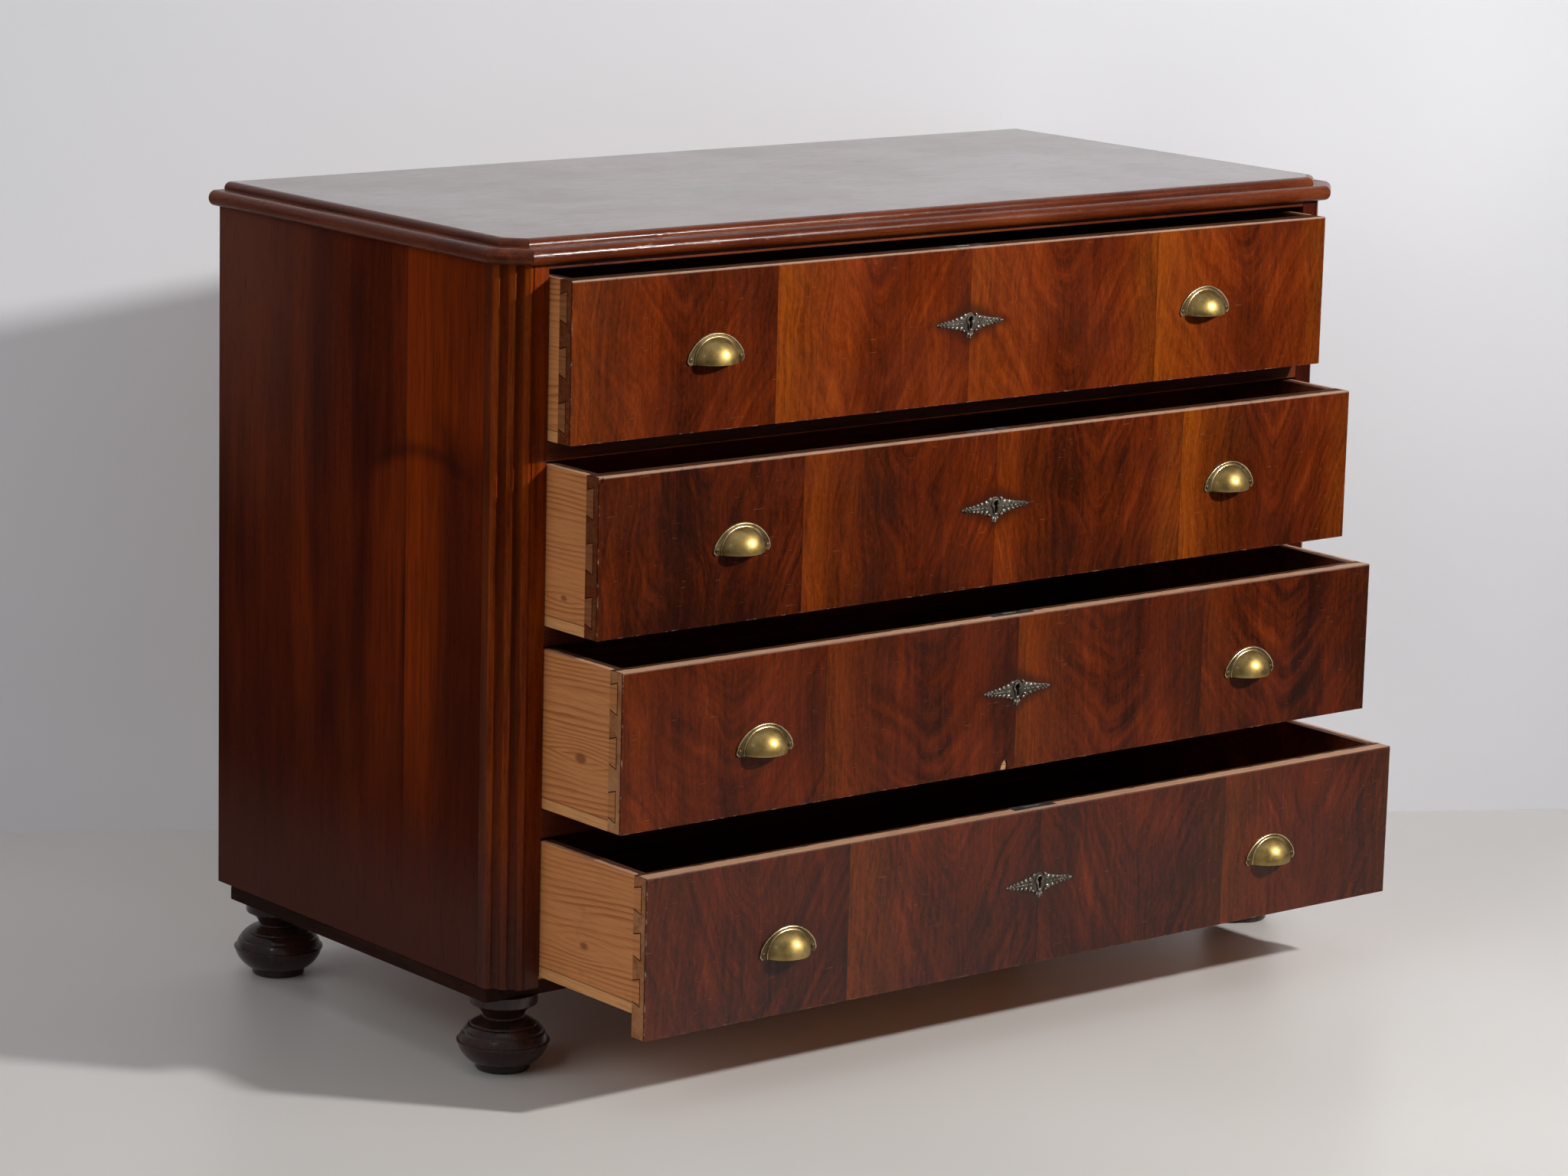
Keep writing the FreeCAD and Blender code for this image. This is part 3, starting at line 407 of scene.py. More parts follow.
def pine(name, along, seed, knots=(), base=(0.6, 0.24, 0.08), late=(0.36, 0.11, 0.03), pitch=0.0058,
         drawer=None):
    """Old pine: late-wood lines along the board, bent round its knots."""
    shade = Shade(name)
    way = shade.y if along == "y" else shade.x
    offset = (seed * 3.1, seed, seed * 1.3)
    drift = shade.noise(grained(along, 2.2, 12.0), 3, offset) - 0.5
    swell = shade.noise(grained(along, 1.1, 6.0), 3, offset) - 0.5
    lift = shade.z + way * 0.05 + drift * 0.013 + swell * 0.085
    hearts = []
    for along_at, level_at, size in knots:
        run = (way - along_at) / 2.6
        rise = shade.z - level_at
        away = shade.root(run * run + rise * rise)
        lift = lift - shade.math("SIGN", rise) * away.span(size * 0.3, size * 3.4, 1, 0) * (size * 0.9)
        near = shade.root(run * run * 2.2 + rise * rise)
        hearts.append((near + drift * 0.006).span(size * 0.35, size * 0.9, 1, 0))
    rings = shade.math("FRACT", lift / pitch)
    line = rings.span(0.35, 0.86) * rings.span(0.9, 1.0, 1, 0)
    fibre = shade.noise(grained(along, 30, 700), 3, offset)
    cloud = shade.noise(7, 4)
    strong = shade.noise(grained(along, 4, 46), 3, offset)
    shade.colour = base
    shade.stain(line * strong.span(0.32, 0.66, 0.12, 0.95), late)
    shade.stain(fibre.span(0.4, 0.75, 0, 0.35), late)
    shade.stain(cloud.span(0.45, 0.75, 0, 0.4), tuple(each * 0.62 for each in base))
    stain = shade.noise(23, 4, rough=0.7)
    shade.stain(stain.span(0.6, 0.78, 0, 0.3), (0.2, 0.09, 0.04))
    if drawer:
        drawer_side(shade, fibre, late, drawer)
    if hearts:
        shade.stain(shade.most(*hearts) * 0.8, (0.19, 0.05, 0.018))
    shade.set(Base_Color=shade.colour, Roughness=fibre.span(0.3, 0.7, 0.5, 0.72), Specular_IOR_Level=0.3)
    shade.bump(line * 0.5 + fibre * 0.6 + cloud * 0.4, 0.0002)
    return shade.material


def metal(name, tones, rough, dull, metallic=1.0, scale=1.0, tarnish=0.5, coat=0.0):
    """Cast or pressed metal: bright where it is handled, tarnished in patches."""
    shade = Shade(name)
    cloud = shade.noise(70 * scale, 5, rough=0.6)
    speck = shade.noise(520 * scale, 3)
    value = cloud * 0.75 + speck * 0.25
    shade.colour = shade.ramp(value, *((0.25 * step, *tone) for step, tone in enumerate(tones, 1)))
    shade.stain(speck.span(0.6, 0.75, 0, tarnish), dull)
    shade.set(Base_Color=shade.colour, Roughness=value.span(0.3, 0.7, *rough), Metallic=metallic,
              Coat_Weight=coat, Coat_Roughness=0.15)
    shade.bump(cloud * 0.6 + speck * 0.4, 0.00006)
    return shade.material


def front_end(shade, fine, number):
    """Stain and grime over the ends and the top of a front, thicker on the two upper drawers; their tops
    also painted shadow.
    """
    low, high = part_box("drawer_%d_front" % number)
    stained_and_shaded_edge(shade, high.z, shade.y - low.y, PALE_EDGES[number])
    end = abs(shade.x) > 0.4985
    grime = shade.noise(85, 4, rough=0.7)
    cover = shade.z.span(0.44, 0.45) * 0.75 + grime.span(0.45, 0.7, 0.1, 0.6)
    stained = shade.ramp(grime * 0.6 + fine * 0.4, *STAINED_TONES)
    shade.stain(end * shade.math("MINIMUM", cover, 0.97), stained)


FRONT = {number: front_veneer(number) for number in DRAWERS}
CORE = {number: wood("core_wood_%d" % number, "x", CORE_TONES, number * 2.3, shine=0.06, rough=(0.45, 0.65),
                     wear=lambda *parts, number=number: front_end(*parts, number)) for number in DRAWERS}
CASE = wood("case_veneer", "z", CASE_TONES, 1.3, 12, 0.3, 0.02, (0.3, 0.46), side_wear, stretch=6.0)
POST = {"left": wood("post_veneer_left", "z", LIT_TONES, 6.2, 60, 0.4, 0.09, (0.22, 0.36), post_shade_and_wear),
        "right": wood("post_veneer_right", "z", POST_TONES, 7.9, 60, 0.4, 0.12, (0.26, 0.4), post_shade_and_wear)}
RAIL = wood("rail_veneer", "x", RAIL_TONES, 4.4, 70, 0.4, 0.2)
MOULD = [wood("moulding_across", "x", MOULD_TONES, 8.1, 90, 0.45, 0.2, (0.16, 0.3)),
         wood("moulding_along", "y", MOULD_TONES, 9.7, 90, 0.45, 0.16, (0.2, 0.34))]
TOP = wood("top_veneer", "x", TOP_TONES, 2.7, 42, 0.4, 0.25, (0.18, 0.26), coat=0.6)
DARK = wood("dark_wood", "z", DARK_TONES, 3.3, 30, 0.35, 0.4, (0.16, 0.28))
LINING = wood("stained_lining", "x", LINING_TONES, 5.9, 30, 0.4, 0.05, (0.5, 0.7))
# dark grime for joints and the battens; on the keyhole's walls it is painted shade
GRIME_AND_SHADE = wood("joint_grime_and_shade", "y", DARK_TONES, 1.9, 30, 0.4, 0.05, (0.6, 0.8))
# knots on the drawers' sides and the back boards: along the board, up z and size
KNOTS = {1: ((-0.12, 0.72, 0.006),), 2: ((-0.19, 0.49, 0.005), (0.05, 0.54, 0.008)),
         3: ((-0.222, 0.338, 0.0075), (-0.02, 0.4, 0.006)),
         4: ((-0.232, 0.153, 0.0075), (-0.1, 0.21, 0.006))}
BOARD_KNOTS = ((-0.31, 0.25, 0.011), (0.12, 0.47, 0.013), (0.37, 0.7, 0.009), (-0.16, 0.64, 0.008))
PINE = {number: pine("drawer_pine_%d" % number, "y", number * 1.9, KNOTS[number], drawer=number)
        for number in DRAWERS}
BACK_PINE = pine("drawer_back_pine", "x", 3.7, ((0.21, 0.7, 0.008), (-0.3, 0.33, 0.009)))
TRAY_PINE = pine("tray_pine", "x", 6.1)
RUNNER_PINE = pine("runner_pine", "y", 8.3)
BOARD_PINE = pine("back_board_pine", "x", 9.2, BOARD_KNOTS, (0.42, 0.2, 0.085), (0.24, 0.1, 0.04), 0.009)
BRASS = metal("aged_brass", ((0.15, 0.092, 0.024), (0.33, 0.225, 0.07), (0.47, 0.335, 0.12)),
              (0.38, 0.52), (0.07, 0.045, 0.015), coat=0.5)
RIM_BRASS = metal("rim_brass", ((0.42, 0.33, 0.17), (0.72, 0.6, 0.36), (0.86, 0.75, 0.52)),
                  (0.22, 0.36), (0.12, 0.08, 0.03))
DULL_BRASS = metal("dull_brass", ((0.05, 0.032, 0.014), (0.12, 0.08, 0.034), (0.22, 0.15, 0.065)),
                   (0.42, 0.6), (0.03, 0.018, 0.008))
PEWTER = metal("grey_brass", ((0.09, 0.078, 0.062), (0.25, 0.225, 0.19), (0.5, 0.47, 0.42)),
               (0.22, 0.4), (0.03, 0.025, 0.02), 0.9, 1.6, 0.7)
TARNISH = metal("tarnished_brass", ((0.022, 0.017, 0.012), (0.065, 0.052, 0.04), (0.13, 0.11, 0.085)),
                (0.45, 0.65), (0.01, 0.007, 0.004), 0.7, 1.6, 0.7)
IRON = metal("iron", ((0.06, 0.055, 0.05), (0.15, 0.14, 0.13), (0.26, 0.25, 0.24)),
             (0.4, 0.6), (0.09, 0.045, 0.025), 0.9)
SCREW = metal("screw_metal", ((0.05, 0.035, 0.02), (0.12, 0.085, 0.045), (0.2, 0.15, 0.08)),
              (0.35, 0.5), (0.03, 0.02, 0.01), 0.9, 2.0)


# pieces

# material slots of a softened piece after its own
LINED, GRIMY_AND_SHADED = 1, 2
# dovetails lie further out than this from the middle of a drawer
TAILS_FROM = 0.47
KEYHOLE_HALF = (4 * MM, 10 * MM)


def placed(name, data):
    """A new object in the scene."""
    made = bpy.data.objects.new(name, data)
    scene.collection.objects.link(made)
    return made


def meshed(name, form):
    """A mesh from a form that is done with."""
    bmesh.ops.recalc_face_normals(form, faces=form.faces)
    mesh = bpy.data.meshes.new(name)
    form.to_mesh(mesh)
    form.free()
    return mesh


def piece(name, form, materials, body, slot, *nodes, smooth=38):
    """Finish a form as an object that rides on a body and stands for the nodes."""
    mesh = meshed(name, form)
    for material in materials:
        mesh.materials.append(material)
    for face in mesh.polygons:
        face.use_smooth = True
    mesh.set_sharp_from_angle(angle=radians(smooth))
    made = placed(name, mesh)
    evened = made.modifiers.new("evened", "WEIGHTED_NORMAL")
    evened.keep_sharp = True
    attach(made, body)
    if nodes:
        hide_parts(*nodes)
    return made


def eased(node, width, within=None):
    """A copy of a node's solid with its sharp edges eased, cut off beyond a distance to either side."""
    form = bmesh.new()
    form.from_mesh(frame["nodes"][node].data)
    bmesh.ops.remove_doubles(form, verts=form.verts, dist=MM * 0.002)
    bmesh.ops.dissolve_limit(form, angle_limit=radians(0.5), verts=form.verts, edges=form.edges)
    for sign in SIDES.values() if within else ():
        bmesh.ops.bisect_plane(form, geom=form.verts[:] + form.edges[:] + form.faces[:],
                               plane_co=(sign * within, 0, 0), plane_no=(sign, 0, 0), clear_outer=True)
        bmesh.ops.holes_fill(form, edges=[edge for edge in form.edges if edge.is_boundary])
    sharp = [edge for edge in form.edges if edge.is_manifold and edge.calc_length() > 2.2 * width
             and edge.calc_face_angle(0) > radians(32)]
    bmesh.ops.bevel(form, geom=sharp, offset=width, segments=2, profile=0.5, affect="EDGES",
                    clamp_overlap=False)
    return form


def soften(node, width_mm, material, slot, lining=None, inward=None, joint=None, hole=None, within=None):
    """Replace a node by its eased copy; faces that look inward take the lining, the eased edges of the
    dovetails, in front of the joint's y, take the grime, and the keyhole's walls take it as painted shade."""
    form = eased(node, width_mm * MM, within)
    form.normal_update()
    for face in form.faces:
        middle, normal = face.calc_center_median(), face.normal
        slanted = max(abs(each) for each in normal) < 0.97
        if lining and normal.dot(inward) > 0.9:
            face.material_index = LINED
        elif joint is not None and slanted and middle.y < joint and abs(middle.x) > TAILS_FROM:
            face.material_index = GRIMY_AND_SHADED
        # painted shade: the keyhole's walls take the dark grime material
        if hole is not None and abs(normal.y) < 0.5:
            if abs(middle.x) < KEYHOLE_HALF[0] and abs(middle.z - hole) < KEYHOLE_HALF[1]:
                face.material_index = GRIMY_AND_SHADED
    materials = [material] if lining is None and hole is None else [material, lining or material, GRIME_AND_SHADE]
    return piece("shown_" + node, form, materials, BODY_OF[node], slot, node)


def tube(form, rings, closed=False):
    """Skin a row of equal rings of points and cap its ends."""
    rows = [[form.verts.new(point) for point in ring] for ring in rings]
    pairs = list(zip(rows, rows[1:])) + ([(rows[-1], rows[0])] if closed else [])
    for first, second in pairs:
        for index in range(len(first)):
            after = (index + 1) % len(first)
            form.faces.new((first[index], first[after], second[after], second[index]))
    if not closed:
        form.faces.new(rows[0])
        form.faces.new(rows[-1])


def arc(start, end, bulge, steps):
    """Points from start towards end on an arc: its rise is a share of its chord, to the right of it."""
    chord = Vector(end) - Vector(start)
    side = Vector((chord.y, -chord.x)).normalized()
    rise = chord.length * bulge
    radius = (chord.length ** 2 / 4 + rise ** 2) / (2 * abs(rise))
    sign = copysign(1, rise)
    centre = (Vector(start) + Vector(end)) / 2 + side * (rise - sign * radius)
    first = Vector(start) - centre
    turn = sign * 2 * asin(min(1, chord.length / 2 / radius))
    return [tuple(centre + Matrix.Rotation(turn * step / steps, 2) @ first) for step in range(steps)]


# carcass

for side in SIDES:
    soften("side_panel_" + side, 0.9, CASE, "case_veneer")
for rail in ("top_rail", "drawer_rail_1", "drawer_rail_2", "drawer_rail_3"):
    soften(rail, 0.9, RAIL, "case_veneer", within=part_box("corner_post_right")[0].x)
for node, width_mm, material, slot in (
        ("top_board", 0.25, TOP, "top_veneer"), ("back_boards", 1.0, BOARD_PINE, "pine"),
        ("bottom_board", 0.5, TRAY_PINE, "pine"), ("drawer_runners", 0.5, RUNNER_PINE, "pine"),
        ("drawer_stops", 0.6, RUNNER_PINE, "pine"), ("base_battens", 0.8, GRIME_AND_SHADE, "dark_wood")):
    soften(node, width_mm, material, slot)

# corner posts: a flat with a quirk and a bead, then a cant with two flutes
BEAD_MM, QUIRK_MM, QUIRK_DEPTH_MM = 3.6, 1.8, 0.7
FLUTE_SHARES = ((0.13, 0.4), (0.58, 0.85))
QUIRK_SHARE, FLUTE_DEPTH_SHARE, BEAD_SHARE = 0.42, 0.31, 0.24


def post_outline():
    """Plan of a post in millimetres: out from its inner face and back from its front."""
    flat = POST_WIDTH_MM - CANT_MM
    bead = flat - BEAD_MM
    points = [(0, 0)]
    points += arc((bead - QUIRK_MM, 0), (bead, QUIRK_DEPTH_MM), -QUIRK_SHARE, 6)
    points += arc((bead, QUIRK_DEPTH_MM), (flat, QUIRK_DEPTH_MM), BEAD_SHARE, 10)
    points.append((flat, QUIRK_DEPTH_MM))
    for near, far in FLUTE_SHARES:
        start, end = (flat + CANT_MM * near, CANT_MM * near), (flat + CANT_MM * far, CANT_MM * far)
        points += arc(start, end, -FLUTE_DEPTH_SHARE, 14)
        points.append(end)
    points += [(POST_WIDTH_MM - 0.6, CANT_MM - 0.6), (POST_WIDTH_MM, CANT_MM + 0.6)]
    return points + [(POST_WIDTH_MM, POST_DEPTH_MM - 0.5), (POST_WIDTH_MM - 0.5, POST_DEPTH_MM),
                     (0, POST_DEPTH_MM)]


for side, sign in SIDES.items():
    node = "corner_post_" + side
    low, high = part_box(node)
    inner = low.x if sign > 0 else high.x
    plan = [(inner + sign * x * MM, low.y + y * MM) for x, y in post_outline()]
    form = bmesh.new()
    levels = (low.z, low.z + 0.4 * MM, high.z)
    tube(form, [[(x, y, level) for x, y in plan] for level in levels])
    piece("shown_" + node, form, [POST[side]], "carcass", "case_veneer", node, smooth=30)

# moulding round the top in five mitred lengths
TOP_INSET_MM, TOP_THICKNESS_MM, SKIRT_MM, OVERHANG_MM = 14, 15.5, 8, 13
ROUND_MM = (8, 6.5)
MITRE_GAP_MM = 0.12
EASE_MM = 0.2


def moulding_outline():
    """Section of the moulding: how far out from the carcass, and how high over its top."""
    top, back = TOP_THICKNESS_MM, -TOP_INSET_MM
    points = [(back, 0), (back, top - EASE_MM), (back + EASE_MM, top)]
    for step in range(1, 13):
        angle = pi / 2 * step / 12
        points.append((back + EASE_MM + (ROUND_MM[0] - EASE_MM) * sin(angle),
                       top - ROUND_MM[1] * (1 - cos(angle))))
    ledge = top - ROUND_MM[1] - 1
    edge = back + ROUND_MM[0]
    radius = (ledge + SKIRT_MM) / 2
    points += [(edge, ledge + 0.25), (edge + 0.25, ledge)]
    for step in range(25):
        angle = pi / 2 - pi * step / 24
        points.append((OVERHANG_MM - radius + radius * cos(angle),
                       ledge - radius + radius * sin(angle)))
    return points + [(0.3, -SKIRT_MM), (0, -SKIRT_MM + 0.3), (0, 0)]


low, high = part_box("top_moulding")
post_low, post_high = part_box("corner_post_right")
side_x, front_y, back_y = post_high.x, post_low.y, high.y
top_z = high.z - TOP_THICKNESS_MM * MM
cant = CANT_MM * MM
path = [Vector(point) for point in ((-side_x, back_y), (-side_x, front_y + cant), (-side_x + cant, front_y),
                                    (side_x - cant, front_y), (side_x, front_y + cant), (side_x, back_y))]
ways = [(end - start).normalized() for start, end in zip(path, path[1:])]
outs = [Vector((way.y, -way.x)) for way in ways]
section = moulding_outline()
form = bmesh.new()
for index, (way, out) in enumerate(zip(ways, outs)):
    ends = []
    for corner, other, sign in ((path[index], index - 1, 1), (path[index + 1], index + 1, -1)):
        facing, inset = out, Vector((0, 0))
        if 0 <= other < len(ways):
            facing = (out + outs[other]) / (1 + out.dot(outs[other]))
            inset = way * (sign * MITRE_GAP_MM * MM)
        ends.append([(*(corner + inset + facing * reach * MM), top_z + height * MM)
                     for reach, height in section])
    before = len(form.faces)
    tube(form, ends)
    form.faces.ensure_lookup_table()
    for face in form.faces[before:]:
        face.material_index = 0 if index in (1, 2, 3) else 1
piece("shown_top_moulding", form, MOULD, "carcass", "case_veneer", "top_moulding", smooth=30)

# turned feet
BUN_MM = 46.5
FOOT_SEGMENTS = 96
# points of a foot's dome that are sunk to rings, and how far
RINGS, RING_MM = (8, 9, 17), (0.55, 0.5)


def foot_profile():
    """Radius and height up a foot, in millimetres, with its tenon left in the batten."""
    profile = [(24.6, 0)]
    profile += arc((24.9, 0), (27.4, 2.6), 0.2, 5)
    profile += [(27.5, 2.7), (27.5, 7.2), (27.2, 7.9), (30.6, 8.1)]
    profile += arc((31.4, 8.6), (45.6, 27.9), 0.105, 16)
    profile += arc((45.6, 27.9), (BUN_MM, 29.2), 0.2, 3)
    profile += arc((BUN_MM, 29.2), (45.2, 30.6), 0.25, 4)
    profile += [(44.6, 30.7)]
    dome = arc((44.5, 31.1), (20.9, 53.2), 0.14, 30)
    for ring in RINGS:
        dome[ring] = (dome[ring][0] - RING_MM[0], dome[ring][1] - RING_MM[1])
    profile += dome
    profile += arc((20.9, 53.2), (20.4, 55.6), -0.2, 4)
    profile += arc((20.4, 55.6), (32.2, 67.2), -0.1, 10)
    return profile + [(32.4, 67.5), (33.4, 67.9), (34, 69), (34, 78.9), (33.6, 79.6), (32.8, 80)]


low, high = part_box("bun_feet")
turns = [tau * step / FOOT_SEGMENTS for step in range(FOOT_SEGMENTS)]
form = bmesh.new()
for x in (low.x + BUN_MM * MM, high.x - BUN_MM * MM):
    for y in (low.y + BUN_MM * MM, high.y - BUN_MM * MM):
        tube(form, [[(x + radius * MM * cos(turn), y + radius * MM * sin(turn), height * MM)
                     for turn in turns] for radius, height in foot_profile()])
piece("shown_bun_feet", form, [DARK], "carcass", "dark_wood", "bun_feet", smooth=40)


# drawers

def break_out(target, points, face, depth):
    """Break a chip out of a front for good, drawn in x and z and run in from its face."""
    form = bmesh.new()
    tube(form, [[(x, level, z) for x, z in points] for level in (face - 2 * MM, face + depth)])
    block = placed("chip", meshed("chip", form))
    cutter = target.modifiers.new("chip", "BOOLEAN")
    target.modifiers.move(1, 0)
    cutter.object = block
    cutter.operation = "DIFFERENCE"
    cutter.solver = "EXACT"
    bpy.context.view_layer.update()
    whole = target.evaluated_get(bpy.context.evaluated_depsgraph_get())
    mesh = bpy.data.meshes.new_from_object(whole)
    target.modifiers.remove(cutter)
    target.data = mesh
    bpy.data.objects.remove(block)


INWARD = {"side_left": Vector((1, 0, 0)), "side_right": Vector((-1, 0, 0)), "back": Vector((0, -1, 0)),
          "bottom": Vector((0, 0, 1)), "front": Vector((0, 1, 0))}
veneers = {}
for number in DRAWERS:
    name = "drawer_%d_" % number
    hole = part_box(name + "veneer")[1].z - KEYHOLE_DROP
    veneers[number] = soften(name + "veneer", 0.45, FRONT[number], "front_veneer", hole=hole)
    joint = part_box(name + "front")[1].y - 0.5 * MM
    soften(name + "front", 0.45, CORE[number], "pine", LINING, INWARD["front"], joint, hole)
    for ending in ("side_left", "side_right"):
        soften(name + ending, 0.6, PINE[number], "pine", LINING, INWARD[ending], joint)
    for ending, material in (("back", BACK_PINE), ("bottom", TRAY_PINE)):
        soften(name + ending, 0.5, material, "pine", LINING, INWARD[ending])
    for ending in ("lock_case", "lock_bolt"):
        soften(name + ending, 0.25, IRON, "iron")


# cup pulls: a spun dome on a flange with a beaded edge and two ears

CUP_SETBACK_MM, CUP_WALL_MM, LIP_MM = 8.2, 1.8, 0.7
DOME_CENTRE_MM, DOME_RADIUS_MM = (3.18, 1.991), 25.0
EAR_MM, FLANGE_RISE_MM, FLANGE_ARC_MM = 35.5, 30.0, 38.9
SCREW_PLACE_MM, SCREW_RADIUS_MM, SCREW_TURN = (31.0, 5.0), 2.3, 0.5
SLOT_HALF_MM = 0.32
SECTION_STEPS, DOME_COLUMNS, FLANGE_STEPS = 22, 56, 72


def dome_arc(radius, start, end):
    """Points of the dome's section from one angle to another, as distance from its axis and height."""
    angles = [start + (end - start) * step / SECTION_STEPS for step in range(SECTION_STEPS + 1)]
    return [(DOME_CENTRE_MM[0] + radius * cos(angle), DOME_CENTRE_MM[1] + radius * sin(angle))
            for angle in angles]


def dome_section():
    """Closed section of the dome's wall: distance from the turning axis and height."""
    outer, inner = DOME_RADIUS_MM, DOME_RADIUS_MM - CUP_WALL_MM
    tops = [acos((CUP_SETBACK_MM - DOME_CENTRE_MM[0]) / radius) for radius in (outer, inner)]
    lips = [asin((LIP_MM - DOME_CENTRE_MM[1]) / radius) for radius in (outer, inner)]
    middle = DOME_CENTRE_MM[0] + (outer + inner) / 2
    lip = [(middle + 0.55, 0.15), (middle, 0.0), (middle - 0.55, 0.15)]
    return dome_arc(outer, tops[0], lips[0]) + lip + dome_arc(inner, lips[1], tops[1])


def flange_reach(angle):
    """Distance from the middle of the pull's foot to its flange's edge."""
    across, rise = cos(angle), sin(angle)
    lower = FLANGE_RISE_MM - FLANGE_ARC_MM
    reach = rise * lower + sqrt((rise * lower) ** 2 + FLANGE_ARC_MM ** 2 - lower ** 2)
    if abs(across) > 1e-6:
        reach = min(reach, EAR_MM / abs(across))
    from_end = min(angle, pi - angle)
    return reach - 2.6 * exp(-(from_end / 0.05) ** 2) - 0.9 * exp(-((from_end - 0.2) / 0.05) ** 2)


def dome_reach(angle):
    """Distance from the same middle to the foot of the dome on the face."""
    low_reach, high_reach = 1.0, 40.0
    for _ in range(40):
        reach = (low_reach + high_reach) / 2
        x, z = reach * cos(angle), reach * sin(angle)
        drop = DOME_RADIUS_MM ** 2 - (z - DOME_CENTRE_MM[1]) ** 2
        radius = DOME_CENTRE_MM[0] + sqrt(drop) if drop > 0 else 0
        inside = radius > CUP_SETBACK_MM and x * x < radius * radius - CUP_SETBACK_MM ** 2
        low_reach, high_reach = (reach, high_reach) if inside else (low_reach, reach)
    return low_reach


def around(angle, profile, rise=0.0):
    """A profile of reach and height off the face, set at an angle about a middle that lies at a rise."""
    return [(reach * cos(angle) * MM, -height * MM, (rise + reach * sin(angle)) * MM)
            for reach, height in profile]


def turned(x, z, turn):
    return x * cos(turn) - z * sin(turn), x * sin(turn) + z * cos(turn)


def pull_form():
    """A cup pull, its middle at the foot of its flange on the face."""
    form = bmesh.new()
    rings = []
    for column in range(DOME_COLUMNS + 1):
        share = 2 * column / DOME_COLUMNS - 1
        ring = []
        for radius, height in dome_section():
            turn = acos(min(1, CUP_SETBACK_MM / max(radius, CUP_SETBACK_MM))) * share
            out = radius * cos(turn) - CUP_SETBACK_MM
            ring.append((radius * sin(turn) * MM, -out * MM, height * MM))
        rings.append(ring)
    tube(form, rings)
    rings = []
    for step in range(FLANGE_STEPS + 1):
        angle = pi * step / FLANGE_STEPS
        edge = flange_reach(angle)
        inner = min(dome_reach(angle) - 0.9, edge - 3.2)
        bead = [(edge - inset, height) for inset, height in (
            (0, 0), (0, 1.0), (0.25, 1.6), (0.9, 1.95), (1.5, 1.6), (1.8, 1.15))]
        seat = [(inner + outset, height) for outset, height in (
            (1.9, 1.1), (1.3, 1.35), (0.7, 2.0), (0, 2.2), (0, 0))]
        rings.append(around(angle, bead + seat))
    before = len(form.faces)
    tube(form, rings)
    form.faces.ensure_lookup_table()
    # the flat between the beaded edge and the dome has gone dull, the beads are rubbed bright
    for face in form.faces[before:]:
        level = -face.calc_center_median().y / MM
        face.material_index = 2 if level > 1.7 else int(level > 1.0)
    bmesh.ops.remove_doubles(form, verts=form.verts, dist=MM * 0.003)
    return form


def screws_form():
    """A pull's two domed screw heads with slots, lying against the flange's ears."""
    form = bmesh.new()
    for sign in (-1, 1):
        middle = (sign * SCREW_PLACE_MM[0], SCREW_PLACE_MM[1])
        for half in (1, -1):
            rings = []
            for level, share in ((0.9, 1.0), (1.5, 0.97), (2.0, 0.8), (2.25, 0.5)):
                reach = SCREW_RADIUS_MM * share
                start = asin(SLOT_HALF_MM / reach)
                ring = []
                for step in range(13):
                    angle = start + (pi - 2 * start) * step / 12
                    x, z = turned(reach * cos(angle), half * reach * sin(angle), SCREW_TURN)
                    ring.append(((middle[0] + x) * MM, -level * MM, (middle[1] + z) * MM))
                rings.append(ring)
            tube(form, rings)
        reach = 0.7 * SCREW_RADIUS_MM
        floor = [(middle[0] + reach * cos(tau * step / 20),
                  middle[1] + reach * sin(tau * step / 20)) for step in range(20)]
        tube(form, [[(x * MM, -level * MM, z * MM) for x, z in floor] for level in (0.9, 1.35)])
    return form


def copied(master, place):
    form = master.copy()
    bmesh.ops.translate(form, verts=form.verts, vec=place)
    return form


pull_master, screws_master = pull_form(), screws_form()
for number in DRAWERS:
    body = "drawer_%d" % number
    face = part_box("drawer_%d_veneer" % number)[0].y
    for side in SIDES:
        node = "drawer_%d_pull_%s" % (number, side)
        low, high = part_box(node)
        place = Vector(((low.x + high.x) / 2, face, low.z))
        piece("shown_" + node, copied(pull_master, place), [BRASS, DULL_BRASS, RIM_BRASS], body, "brass",
              node, smooth=42)
        piece(node + "_screws", copied(screws_master, place), [SCREW], body, "brass", smooth=42)


# escutcheons: cast leaves and beads about a raised keyhole

KEY_CENTRE_MM, KEY_RADIUS_MM, KEY_SLOT_MM, KEY_FOOT_MM = 4.0, 2.8, 1.6, -5.6
KEY_STEPS, BOSS_ROWS, BOSS_SEGMENTS = 64, 6, 20
# lobes of a wing: distance from the keyhole, half length and half height
LOBES_MM = ((11.0, 5.2, 7.6), (17.2, 5.0, 6.2), (23.0, 4.6, 5.0), (28.4, 4.2, 4.0), (33.4, 3.7, 3.3),
            (38.0, 3.2, 2.8))
# leaves and beads of a wing beside those of its lobes: across, up, half sizes, height and turn
WING_MM = ((40.3, 0, (1.6, 1.5), 2.8, 0.0), (43.2, 0, (1.5, 0.8), 1.5, 0.0),
           (7.6, 8.6, (2.4, 1.5), 2.4, -0.6), (8.2, -7.6, (2.2, 1.4), 2.3, 0.6),
           (3.0, -11.2, (1.5, 1.9), 1.9, 0.5))


def key_reach(angle):
    """From the middle of the keyhole's round to its edge."""
    across, rise = cos(angle), sin(angle)
    if rise >= 0:
        return KEY_RADIUS_MM
    side = KEY_SLOT_MM / abs(across) if abs(across) > 1e-6 else 1e6
    return max(KEY_RADIUS_MM, min(side, (KEY_FOOT_MM - KEY_CENTRE_MM) / rise))


